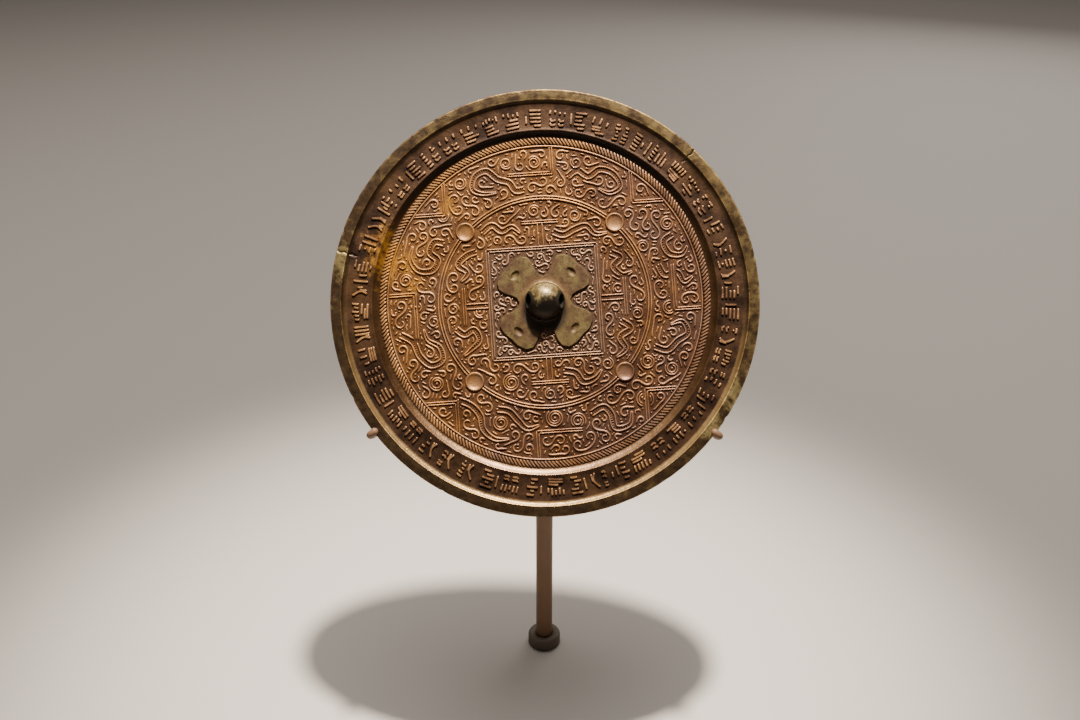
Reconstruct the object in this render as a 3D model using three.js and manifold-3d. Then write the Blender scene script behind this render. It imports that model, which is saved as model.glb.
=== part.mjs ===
// A cast bronze mirror of the TLV kind, leaning back on its display stand.
//
// The frame is millimetres with +Z up. The decorated back of the mirror looks towards -Y and upwards.
// The origin is the centre of the stand's foot, where it meets the surface that it is fixed in.
// The mirror and what holds it are worked out in the mirror's own frame: x to the right across the
// decorated side, y up along it, z out of it, with z = 0 at the sunken field of the ornament.
import * as THREE from 'three';
import { mergeVertices } from 'three/addons/utils/BufferGeometryUtils.js';
import Module from 'manifold-3d';

const wasm = await Module();
wasm.setup();

const DEGREE = Math.PI / 180;
const QUARTER_TURNS = [0, 90, 180, 270];

// Pose of the mirror on the stand.
const MIRROR_LEAN = 30; // degrees from upright
const MIRROR_CENTRE_HEIGHT = 209.5;
const MIRROR_IN_FRONT_OF_ROD = 20;
const ORNAMENT_TURN = 4; // degrees that the cast ornament is turned anticlockwise on the stand

// Mirror: radii, and heights above the field.
const MIRROR_RADIUS = 93.5;
const EDGE_CHAMFER = 0.6;
const RIM_WIDTH = 4.85;
const RIM_HEIGHT = 3.3;
const RIM_STEP_WIDTH = 1.65;
const BAND_HEIGHT = 2.0;
const BAND_DISH = 0.15;
const BAND_INNER_RADIUS = 75.4;
const SLOPE_FOOT_RADIUS = 72.5;
const COMB_OUTER_HEIGHT = 0.4;
const COMB_INNER_HEIGHT = 0.15;
const FIELD_LINE_RADIUS = 68.8;
const RING_RADII = [46.6, 45.4];
const FACE_DEPTH_AT_EDGE = 2.0; // thickness under the field at the edge
const FACE_BULGE = 0.8; // the reflecting face is slightly convex

// Thin raised lines of the ornament.
const LINE_WIDTH = 0.5;
const LINE_HEIGHT = 0.5;
const LINE_SPACING = 1.05; // between the two lines of a double line
const LINE_ROOT = 0.4; // how far a line goes into the casting
const SQUARE_HALF = 24.4;
const T_BAR_DISTANCE = 35.8;
const T_BAR_LENGTH = 17;
const T_STEM_SPACING = 2.1;
const L_BAR_DISTANCE = 57.2;
const L_BAR_LONG_END = -13;
const L_BAR_STEM_END = 7.5;
const V_APEX = 40.8;

// Four dished bosses on the double ring.
const BOSS_DISTANCE = 46.5;
const BOSS_RADIUS = 4.2;
const BOSS_RIM_HEIGHT = 0.85;

// Four joined leaves round the knob, each with an oval hollow.
const LEAF_HEIGHT = 1.0;
const LEAF_HOLLOW_DISTANCE = 17.4;
const LEAF_HOLLOW_HALF_SIZES = [1.5, 2.3, 0.8];
// Half of one leaf's outline: degrees from its middle, and distance from the mirror's centre.
const LEAF_OUTLINE = [
  [0, 22.0],
  [10, 22.6],
  [20, 22.5],
  [27, 20.8],
  [30.5, 17.6],
  [31, 14.6],
  [35, 12.2],
  [45, 11.2],
];

// Knob with its cord hole, which runs from side to side.
const KNOB_RADIUS = 8.5;
const KNOB_BASE_HEIGHT = 1.4;
const KNOB_HEIGHT = 9.8;
const CORD_HOLE_RADIUS = 3.0;
const CORD_HOLE_HEIGHT = 4.1;

// Stand.
const ROD_RADIUS = 4.25;
const ROD_HEIGHT = 196;
const COLLAR_RADIUS = 8.5;
const COLLAR_HEIGHT = 6.5;
const COLLAR_ROUNDING = 1.6;
const HUB_RADIUS = 12;
const HUB_THICKNESS = 7.5;
const HUB_ABOVE_CENTRE = 22;
const ARM_RADIUS = 2.0;
const PRONG_RADIUS = 1.65;
const PRONG_BELOW_LEVEL = 37.8; // degrees below level, seen from the mirror's centre
const PRONG_BEND_RADIUS = 3.3;
const LIP_BEND_RADIUS = 2.6; // where the prong turns in over the rim
const LIP_REACH = 2.7; // from the upright part of the prong in to the middle of its round tip
const TOP_ARM_END = 74;
const GAP = 0.3; // between pieces that touch

const BACK_OF_MIRROR = -(FACE_DEPTH_AT_EDGE + FACE_BULGE);
const ARM_DEPTH = BACK_OF_MIRROR - GAP - ARM_RADIUS;
const LIP_HEIGHT = RIM_HEIGHT + GAP + PRONG_RADIUS;

// Turns a closed geometry into a solid for joining and cutting.
function solidOf(geometry) {
  const bare = geometry.index ? geometry.toNonIndexed() : geometry.clone();
  bare.deleteAttribute('normal');
  bare.deleteAttribute('uv');
  const merged = mergeVertices(bare, 1e-4);
  const mesh = new wasm.Mesh({
    numProp: 3,
    vertProperties: Float32Array.from(merged.attributes.position.array),
    triVerts: Uint32Array.from(merged.index.array),
  });
  return new wasm.Manifold(mesh);
}

function geometryOf(solid) {
  const mesh = solid.getMesh();
  const geometry = new THREE.BufferGeometry();
  geometry.setAttribute('position', new THREE.BufferAttribute(mesh.vertProperties, 3));
  geometry.setIndex(new THREE.BufferAttribute(mesh.triVerts, 1));
  geometry.computeVertexNormals();
  return geometry;
}

function joined(geometries) {
  return geometries.map(solidOf).reduce((whole, piece) => whole.add(piece));
}

// A turned solid about +Z, from [radius, height] pairs that go up the outside.
function turned(profile, segments) {
  const points = profile.map(([radius, height]) => new THREE.Vector2(radius, height));
  return new THREE.LatheGeometry(points, segments).rotateX(Math.PI / 2);
}

// A raised line from [x, y] to [x, y] on the field.
function raisedLine([x1, y1], [x2, y2]) {
  const length = Math.hypot(x2 - x1, y2 - y1);
  return new THREE.BoxGeometry(length + LINE_WIDTH, LINE_WIDTH, LINE_HEIGHT + LINE_ROOT)
    .rotateZ(Math.atan2(y2 - y1, x2 - x1))
    .translate((x1 + x2) / 2, (y1 + y2) / 2, (LINE_HEIGHT - LINE_ROOT) / 2);
}

// A circular ridge of triangular section, as profile points from its outer foot inwards.
function ringRidge(radius, foot) {
  return [
    [radius + 0.3, foot],
    [radius, foot + LINE_HEIGHT],
    [radius - 0.3, foot],
  ];
}

// The disc with its rim, inscription band, slope, comb band and rings, as one turned shape.
function discGeometry() {
  const faceDepth = (radius) =>
    -FACE_DEPTH_AT_EDGE - FACE_BULGE * (1 - (radius / MIRROR_RADIUS) ** 2);
  const rimInner = MIRROR_RADIUS - RIM_WIDTH;
  const stepFoot = rimInner - RIM_STEP_WIDTH;
  const bandMiddle = (stepFoot + BAND_INNER_RADIUS) / 2;
  const profile = [
    ...[0, MIRROR_RADIUS * 0.6].map((radius) => [radius, faceDepth(radius)]),
    [MIRROR_RADIUS - EDGE_CHAMFER, -FACE_DEPTH_AT_EDGE],
    [MIRROR_RADIUS, -FACE_DEPTH_AT_EDGE + EDGE_CHAMFER],
    [MIRROR_RADIUS, RIM_HEIGHT - EDGE_CHAMFER / 2],
    [MIRROR_RADIUS - EDGE_CHAMFER / 2, RIM_HEIGHT],
    [rimInner, RIM_HEIGHT],
    [stepFoot, BAND_HEIGHT],
    [bandMiddle, BAND_HEIGHT - BAND_DISH],
    [BAND_INNER_RADIUS, BAND_HEIGHT],
    [BAND_INNER_RADIUS - 0.8, 1.05],
    [SLOPE_FOOT_RADIUS, COMB_OUTER_HEIGHT],
    ...ringRidge(FIELD_LINE_RADIUS, COMB_INNER_HEIGHT),
    [FIELD_LINE_RADIUS - 0.6, 0],
    ...RING_RADII.flatMap((radius) => ringRidge(radius, 0)),
    [0, 0],
  ];
  return turned(profile, 80);
}

// The lines that repeat on each side of the square: its double side, a T, and an L.
function sideLines() {
  const lines = [];
  for (const step of [0, LINE_SPACING]) {
    const half = SQUARE_HALF - step;
    lines.push([[-half, half], [half, half]]);
    const bar = T_BAR_DISTANCE - step;
    lines.push([[-T_BAR_LENGTH / 2, bar], [T_BAR_LENGTH / 2, bar]]);
    const foot = L_BAR_DISTANCE - step;
    const stem = L_BAR_STEM_END + step - LINE_SPACING;
    lines.push([[L_BAR_LONG_END, foot], [stem, foot]]);
    lines.push([[stem, foot], [stem, Math.sqrt(FIELD_LINE_RADIUS ** 2 - stem ** 2)]]);
  }
  for (const side of [-T_STEM_SPACING / 2, T_STEM_SPACING / 2]) {
    lines.push([[side, SQUARE_HALF], [side, T_BAR_DISTANCE - LINE_SPACING]]);
  }
  return lines;
}

// The double-lined V on a diagonal, its arms running out to the line round the field.
function cornerLines() {
  return [0, LINE_SPACING].flatMap((step) => {
    const apex = V_APEX + step;
    const reach = Math.sqrt(FIELD_LINE_RADIUS ** 2 - apex ** 2);
    return [
      [[apex, apex], [reach, apex]],
      [[apex, apex], [apex, reach]],
    ];
  });
}

function bossGeometry() {
  const profile = [
    [0, -0.9],
    [BOSS_RADIUS, -0.9],
    [BOSS_RADIUS, 0.15],
    [BOSS_RADIUS - 0.35, BOSS_RIM_HEIGHT],
    [BOSS_RADIUS - 0.75, BOSS_RIM_HEIGHT],
    [BOSS_RADIUS - 1.6, 0.25],
    [0, -0.1],
  ];
  return turned(profile, 20).translate(BOSS_DISTANCE, 0, 0);
}

// The outline of the four leaves together, mirrored about each diagonal.
function leafOutline() {
  const mirrored = LEAF_OUTLINE.slice(1, -1).map(([angle, radius]) => [-angle, radius]);
  const oneLeaf = [...mirrored.reverse(), ...LEAF_OUTLINE];
  const points = QUARTER_TURNS.flatMap((turn) =>
    oneLeaf.map(([angle, radius]) => {
      const direction = (turn + 45 + angle) * DEGREE;
      return new THREE.Vector2(radius * Math.cos(direction), radius * Math.sin(direction));
    }),
  );
  return new THREE.Shape(points);
}

function leavesSolid() {
  const plate = new THREE.ExtrudeGeometry(leafOutline(), {
    depth: LEAF_HEIGHT + LINE_ROOT,
    bevelEnabled: false,
  }).translate(0, 0, -LINE_ROOT);
  return QUARTER_TURNS.reduce((leaves, turn) => {
    const hollow = new THREE.SphereGeometry(1, 14, 8)
      .scale(...LEAF_HOLLOW_HALF_SIZES)
      .translate(LEAF_HOLLOW_DISTANCE, 0, LEAF_HEIGHT)
      .rotateZ((turn + 45) * DEGREE);
    return leaves.subtract(solidOf(hollow));
  }, solidOf(plate));
}

function knobGeometry() {
  const dome = [0, 15, 30, 45, 60, 75, 90].map((angle) => [
    KNOB_RADIUS * Math.cos(angle * DEGREE),
    KNOB_BASE_HEIGHT + (KNOB_HEIGHT - KNOB_BASE_HEIGHT) * Math.sin(angle * DEGREE),
  ]);
  dome[dome.length - 1][0] = 0;
  return turned([[0, -LINE_ROOT], [KNOB_RADIUS, -LINE_ROOT], ...dome], 32);
}

// The whole mirror is one casting.
function mirrorGeometry() {
  let casting = solidOf(discGeometry());
  for (const turn of QUARTER_TURNS) {
    const sideTurn = (turn + ORNAMENT_TURN) * DEGREE;
    const cornerTurn = (turn + 45 + ORNAMENT_TURN) * DEGREE;
    const bed = new THREE.CylinderGeometry(BOSS_RADIUS - 0.1, BOSS_RADIUS - 0.1, 2, 20)
      .rotateX(Math.PI / 2)
      .translate(BOSS_DISTANCE, 0, 0.6)
      .rotateZ(cornerTurn);
    casting = casting.subtract(solidOf(bed)).add(solidOf(bossGeometry().rotateZ(cornerTurn)));
    const ridges = [...sideLines(), ...cornerLines()];
    for (const [start, end] of ridges) {
      casting = casting.add(solidOf(raisedLine(start, end).rotateZ(sideTurn)));
    }
  }
  const cordHole = new THREE.CylinderGeometry(CORD_HOLE_RADIUS, CORD_HOLE_RADIUS, 30, 16)
    .rotateZ(Math.PI / 2)
    .translate(0, 0, CORD_HOLE_HEIGHT);
  const knob = solidOf(knobGeometry()).subtract(solidOf(cordHole));
  const leaves = leavesSolid().rotate([0, 0, ORNAMENT_TURN]);
  return geometryOf(casting.add(leaves).add(knob));
}

function rodGeometry() {
  return new THREE.CylinderGeometry(ROD_RADIUS, ROD_RADIUS, ROD_HEIGHT, 32)
    .rotateX(Math.PI / 2)
    .translate(0, 0, ROD_HEIGHT / 2);
}

// The foot ring round the rod, with a rounded upper edge.
function collarGeometry() {
  const bore = ROD_RADIUS + GAP;
  const rounding = [0, 45, 90].map((angle) => [
    COLLAR_RADIUS - COLLAR_ROUNDING * (1 - Math.cos(angle * DEGREE)),
    COLLAR_HEIGHT - COLLAR_ROUNDING * (1 - Math.sin(angle * DEGREE)),
  ]);
  return turned([[bore, 0], [COLLAR_RADIUS, 0], ...rounding, [bore, COLLAR_HEIGHT], [bore, 0]], 32);
}

// The round hub behind the mirror, on an upright neck that carries on from the rod.
function hubGeometry(mirrorFromStand) {
  const hubFront = BACK_OF_MIRROR - GAP;
  const hub = new THREE.CylinderGeometry(HUB_RADIUS, HUB_RADIUS, HUB_THICKNESS, 32)
    .rotateX(Math.PI / 2)
    .translate(0, HUB_ABOVE_CENTRE, hubFront - HUB_THICKNESS / 2);
  const neckLength = 42;
  const neck = new THREE.CylinderGeometry(ROD_RADIUS, ROD_RADIUS, neckLength, 32)
    .rotateX(Math.PI / 2)
    .translate(0, 0, ROD_HEIGHT + GAP + neckLength / 2)
    .applyMatrix4(mirrorFromStand);
  const neckRoot = 0.5;
  const cutSize = 120;
  const pastTheHub = new THREE.BoxGeometry(cutSize, cutSize, cutSize)
    .translate(0, 0, hubFront - HUB_THICKNESS + neckRoot + cutSize / 2);
  return geometryOf(solidOf(neck).subtract(solidOf(pastTheHub)).add(solidOf(hub)));
}

// One lower arm, from the hub's edge out to its prong, which bends forward round the mirror's edge
// and in over its rim. side is 1 on the right and -1 on the left.
function lowerArmGeometry(side) {
  const prongDistance = MIRROR_RADIUS + GAP + PRONG_RADIUS;
  const outward = new THREE.Vector3(
    side * Math.cos(PRONG_BELOW_LEVEL * DEGREE),
    -Math.sin(PRONG_BELOW_LEVEL * DEGREE),
    0,
  );
  const prong = outward.clone().multiplyScalar(prongDistance).setZ(ARM_DEPTH);
  const hubCentre = new THREE.Vector3(0, HUB_ABOVE_CENTRE, ARM_DEPTH);
  const along = prong.clone().sub(hubCentre);
  const reach = along.length();
  along.normalize();
  const place = (distance, height) =>
    hubCentre.clone().addScaledVector(along, distance).setZ(height);
  const overRim = (distance, height) =>
    outward.clone().multiplyScalar(prongDistance - distance).setZ(height);

  const route = new THREE.CurvePath();
  const bendStart = place(reach - PRONG_BEND_RADIUS, ARM_DEPTH);
  const bendEnd = place(reach, ARM_DEPTH + PRONG_BEND_RADIUS);
  const lipStart = overRim(0, LIP_HEIGHT - LIP_BEND_RADIUS);
  const lipEnd = overRim(LIP_BEND_RADIUS, LIP_HEIGHT);
  const tipCentre = overRim(LIP_REACH, LIP_HEIGHT);
  route.add(new THREE.LineCurve3(place(reach - PRONG_BEND_RADIUS - 1.5, ARM_DEPTH), bendStart));
  route.add(new THREE.QuadraticBezierCurve3(bendStart, place(reach, ARM_DEPTH), bendEnd));
  route.add(new THREE.LineCurve3(bendEnd, lipStart));
  route.add(new THREE.QuadraticBezierCurve3(lipStart, overRim(0, LIP_HEIGHT), lipEnd));
  route.add(new THREE.LineCurve3(lipEnd, tipCentre));
  const section = new THREE.Shape().absarc(0, 0, PRONG_RADIUS, 0, 2 * Math.PI);
  const hook = new THREE.ExtrudeGeometry(section, {
    steps: 16,
    curveSegments: 6,
    extrudePath: route,
  });
  const tip = new THREE.SphereGeometry(PRONG_RADIUS * 0.99, 12, 8)
    .translate(tipCentre.x, tipCentre.y, tipCentre.z);

  const armStart = HUB_RADIUS + GAP;
  const armLength = reach - PRONG_BEND_RADIUS - armStart;
  const middle = place(armStart + armLength / 2, ARM_DEPTH);
  const arm = new THREE.CylinderGeometry(ARM_RADIUS, ARM_RADIUS, armLength, 16)
    .rotateZ(Math.atan2(along.y, along.x) - Math.PI / 2)
    .translate(middle.x, middle.y, middle.z);
  return geometryOf(joined([arm, hook, tip]));
}

// The upper arm goes straight up from the hub and ends round behind the mirror.
function topArmGeometry() {
  const start = HUB_ABOVE_CENTRE + HUB_RADIUS + GAP;
  const arm = new THREE.CylinderGeometry(ARM_RADIUS, ARM_RADIUS, TOP_ARM_END - start, 16)
    .translate(0, (TOP_ARM_END + start) / 2, ARM_DEPTH);
  const tip = new THREE.SphereGeometry(ARM_RADIUS * 0.99, 16, 8)
    .translate(0, TOP_ARM_END, ARM_DEPTH);
  return geometryOf(joined([arm, tip]));
}

const bronze = new THREE.MeshStandardMaterial({ color: 0x6f5034, roughness: 0.45, metalness: 0.8 });
const beigePaint = new THREE.MeshStandardMaterial({ color: 0xc79a7c, roughness: 0.6, metalness: 0 });
const greyPaint = new THREE.MeshStandardMaterial({ color: 0x9a8775, roughness: 0.6, metalness: 0 });

function namedMesh(name, geometry, material) {
  const mesh = new THREE.Mesh(geometry, material);
  mesh.name = name;
  return mesh;
}

const mirrorFrame = new THREE.Group();
mirrorFrame.position.set(0, -MIRROR_IN_FRONT_OF_ROD, MIRROR_CENTRE_HEIGHT);
mirrorFrame.rotation.x = (90 - MIRROR_LEAN) * DEGREE;
mirrorFrame.updateMatrix();
const mirrorFromStand = mirrorFrame.matrix.clone().invert();

mirrorFrame.add(namedMesh('mirror', mirrorGeometry(), bronze));
mirrorFrame.add(namedMesh('cradle_hub', hubGeometry(mirrorFromStand), beigePaint));
mirrorFrame.add(namedMesh('cradle_arm_left', lowerArmGeometry(-1), beigePaint));
mirrorFrame.add(namedMesh('cradle_arm_right', lowerArmGeometry(1), beigePaint));
mirrorFrame.add(namedMesh('cradle_arm_top', topArmGeometry(), beigePaint));

const group = new THREE.Group();
group.add(mirrorFrame);
group.add(namedMesh('stand_rod', rodGeometry(), beigePaint));
group.add(namedMesh('stand_collar', collarGeometry(), greyPaint));

export default group;
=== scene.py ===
"""The looks of a cast bronze TLV mirror, leaning back on its display rod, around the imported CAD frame.

The mirror is worked out in its own frame, in millimetres: x to the right across the decorated side, y up
along it, z out of it, with z = 0 at the sunken field. Meshes are made in metres in that frame, and each
object's matrix puts them in place.
"""
import math
import random

import bpy
import numpy as np
from mathutils import Matrix, Vector, noise


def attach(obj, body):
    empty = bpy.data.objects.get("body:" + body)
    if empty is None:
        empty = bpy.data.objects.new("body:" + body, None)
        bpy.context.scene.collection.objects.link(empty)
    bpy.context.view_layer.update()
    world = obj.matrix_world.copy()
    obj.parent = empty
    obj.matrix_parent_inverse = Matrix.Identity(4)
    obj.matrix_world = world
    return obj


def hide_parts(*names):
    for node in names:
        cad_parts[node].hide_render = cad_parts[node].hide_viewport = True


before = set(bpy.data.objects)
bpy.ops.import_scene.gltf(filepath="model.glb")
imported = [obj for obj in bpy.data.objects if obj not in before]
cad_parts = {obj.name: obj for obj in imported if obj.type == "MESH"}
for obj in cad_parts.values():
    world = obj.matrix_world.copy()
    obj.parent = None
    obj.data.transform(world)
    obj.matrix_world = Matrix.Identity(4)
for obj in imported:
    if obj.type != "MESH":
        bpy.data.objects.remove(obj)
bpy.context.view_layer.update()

MM = 0.001
TAU = 2 * math.pi
rng = random.Random(20)
dice = np.random.default_rng(20)

# ---- Driving dimensions of the mirror, in millimetres and degrees, mostly as in the CAD part ----
MIRROR_LEAN = 30
MIRROR_CENTRE = (0, -20, 209.5)
ORNAMENT_TURN = math.radians(4)
RADIUS = 93.5
RIM_INNER = 88.65
RIM_HEIGHT = 3.3
EDGE_ROUNDING, RIM_ROUNDING = 0.6, 0.55  # of the plate's back edge and the rim's front edge
STEP_FOOT = 87.0
BAND_HEIGHT = 2.0
BAND_DISH = 0.15
BAND_INNER = 75.4
COMB_OUTER, COMB_OUTER_HEIGHT = 72.5, 0.4  # the slope's foot is here too
COMB_INNER, COMB_INNER_HEIGHT = 69.35, 0.15
FIELD_LINE = 68.8
RINGS = (46.6, 45.4)
LINE_HEIGHT = 0.5
FACE_DEPTH, FACE_BULGE = 2.0, 0.8
SQUARE_HALF = 24.4
LINE_SPACING = 1.05
T_BAR_DISTANCE, T_BAR_LENGTH, T_STEM_SPACING = 35.8, 17, 2.1
L_BAR_DISTANCE, L_BAR_LONG_END, L_BAR_STEM_END = 57.2, -13, 7.5
V_APEX = 40.8
BOSS_DISTANCE, BOSS_RADIUS = 46.5, 4.2
LEAF_HEIGHT = 1.0
# Half of one leaf's outline: degrees from its middle, and distance from the mirror's centre.
LEAF_OUTLINE = (
    (0, 22.0), (10, 22.6), (20, 22.5), (27, 20.8), (30.5, 17.6), (31, 14.6), (35, 12.2), (45, 11.2),
)
HOLLOW_DISTANCE, HOLLOW_HALF_SIZES, HOLLOW_DEPTH = 17.4, (1.5, 2.3), 0.85
KNOB_RADIUS, KNOB_BASE, KNOB_HEIGHT = 8.5, 1.4, 9.8
CORD_HOLE_RADIUS, CORD_HOLE_HEIGHT = 3.0, 4.1
KNOB_FLARE_WIDTH, KNOB_FLARE_HEIGHT = 2.4, 0.5  # the fillet between knob and leaves
QUARTERS = [quarter * TAU / 4 for quarter in range(4)]

# ---- Driving dimensions of the stand, in millimetres, as in the CAD part ----
ROD_RADIUS, ROD_HEIGHT = 4.25, 196
COLLAR_RADIUS, COLLAR_HEIGHT, COLLAR_ROUNDING = 8.5, 6.5, 1.6
HUB_RADIUS, HUB_THICKNESS, HUB_ABOVE_CENTRE = 12, 7.5, 22
NECK_LENGTH, NECK_SINK = 42, 0.5  # the neck is cut off a little inside the hub
ARM_RADIUS, PRONG_RADIUS = 2.0, 1.65
PRONG_BELOW_LEVEL = math.radians(37.8)
PRONG_BEND, LIP_BEND, LIP_REACH = 3.3, 2.6, 2.7
PRONG_TAPER = 5  # the length over which an arm narrows to its prong
TOP_ARM_END = 74
GAP = 0.3
HUB_FRONT = -(FACE_DEPTH + FACE_BULGE) - GAP
ARM_DEPTH = HUB_FRONT - ARM_RADIUS
LIP_HEIGHT = RIM_HEIGHT + GAP + PRONG_RADIUS

# Patches of orange crust in the patina: centre and half sizes, across and up the mirror.
CRUSTS = ((-71, 20, 9, 13), (-43, 41, 5, 5), (-61, 17, 6, 7), (-57, 6, 7, 4))
# Paler patches on the rim, in the same way.
PALE_PATCHES = ((-88.6, 17, 5, 9), (80, -39, 7, 10), (72, -54, 8, 7))

# ---- Sizes of the fine relief ----
SINK = 0.15  # how far a ridge's foot goes under the ground it stands on
PLATE_FOOT = -0.6  # where the undersides of leaves, bosses and knob lie, inside the casting
RIDGE_HALF_WIDTH = 0.41
RIDGE_HEIGHT = 0.56
RIDGE_SPACING = 1.5
DOT_RADIUS, DOT_HEIGHT = 0.6, RIDGE_HEIGHT * 1.1
GRAIN_RADIUS, GRAIN_HEIGHT = 0.42, RIDGE_HEIGHT * 0.8
RIB_HALF_WIDTH, RIB_HEIGHT = 0.22, RIDGE_HEIGHT * 0.8  # of the winding animals
STEP = 0.34  # between the points of a stroke
END_SHARE = 0.07  # the square of how much of its size a ridge keeps at its very end
SHARP_ANGLE = 62  # degrees between faces, past which an edge stays sharp

# ---- Camera ----
CAMERA_AT = (0, -0.4585, 0.4054)
CAMERA_BELOW_LEVEL, CAMERA_TO_LEFT = 27.12, 0.28  # degrees
camera_data = bpy.data.cameras.new("camera")
camera_data.lens = 36.52
camera_data.sensor_width = 36
camera = bpy.data.objects.new("camera", camera_data)
camera.location = CAMERA_AT
camera.rotation_euler = (math.radians(90 - CAMERA_BELOW_LEVEL), 0, math.radians(CAMERA_TO_LEFT))
bpy.context.scene.collection.objects.link(camera)
bpy.context.scene.camera = camera

MIRROR_MATRIX = Matrix.Translation(Vector(MIRROR_CENTRE) * MM) @ Matrix.Rotation(
    math.radians(90 - MIRROR_LEAN), 4, "X"
)


# ---- Mesh helpers ----
def add_piece(name, verts_mm, faces, material, replaced, slot, matrix=None, lift=None):
    """Makes a smooth-shaded piece from vertices in millimetres, riding on the one body."""
    mesh = bpy.data.meshes.new(name)
    mesh.from_pydata((np.asarray(verts_mm) * MM).tolist(), [], faces)
    mesh.materials.append(material)
    mesh.shade_smooth()
    mesh.set_sharp_from_angle(angle=math.radians(SHARP_ANGLE))
    if lift is not None:
        mesh.attributes.new("lift", "FLOAT", "POINT").data.foreach_set("value", lift)
    piece = bpy.data.objects.new(name, mesh)
    piece.matrix_world = matrix or Matrix.Identity(4)
    bpy.context.scene.collection.objects.link(piece)
    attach(piece, "root")
    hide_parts(replaced)
    return piece


def ring_faces(low, around):
    """The faces between a ring of vertices, which starts at low, and the next ring."""
    faces = []
    for i in range(around):
        j = (i + 1) % around
        faces.append((low + i, low + j, low + around + j, low + around + i))
    return faces


def even_angles(count):
    return np.arange(count) * TAU / count


def lathe(profile, angles):
    """Vertices and faces of a closed turned shape. The profile starts and ends on the axis."""
    profile = np.asarray(profile, float)
    around = len(angles)
    middle = profile[1:-1]
    cos, sin = np.cos(angles), np.sin(angles)
    radii, heights = middle[:, 0], middle[:, 1:2]
    rings = np.stack([np.outer(radii, cos), np.outer(radii, sin), np.repeat(heights, around, 1)], -1)
    verts = np.concatenate([[[0, 0, profile[0, 1]]], rings.reshape(-1, 3), [[0, 0, profile[-1, 1]]]])
    last = len(verts) - 1
    faces = []
    for ring in range(len(middle) - 1):
        faces += ring_faces(1 + ring * around, around)
    top = 1 + (len(middle) - 1) * around
    for i in range(around):
        j = (i + 1) % around
        faces.append((0, 1 + j, 1 + i))
        faces.append((last, top + i, top + j))
    return verts, faces


# A ridge's section: how far across and how far up each of its points lies, from one foot to the other.
ROUND_SECTION = np.array([-1, -0.58, 0, 0.58, 1]), np.array([0, 0.8, 1, 0.8, 0])
FLAT_SECTION = np.array([-1, -0.72, 0, 0.72, 1]), np.array([0, 0.94, 1, 0.94, 0])


def flat_ground(radii):
    return np.zeros_like(radii)


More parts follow.
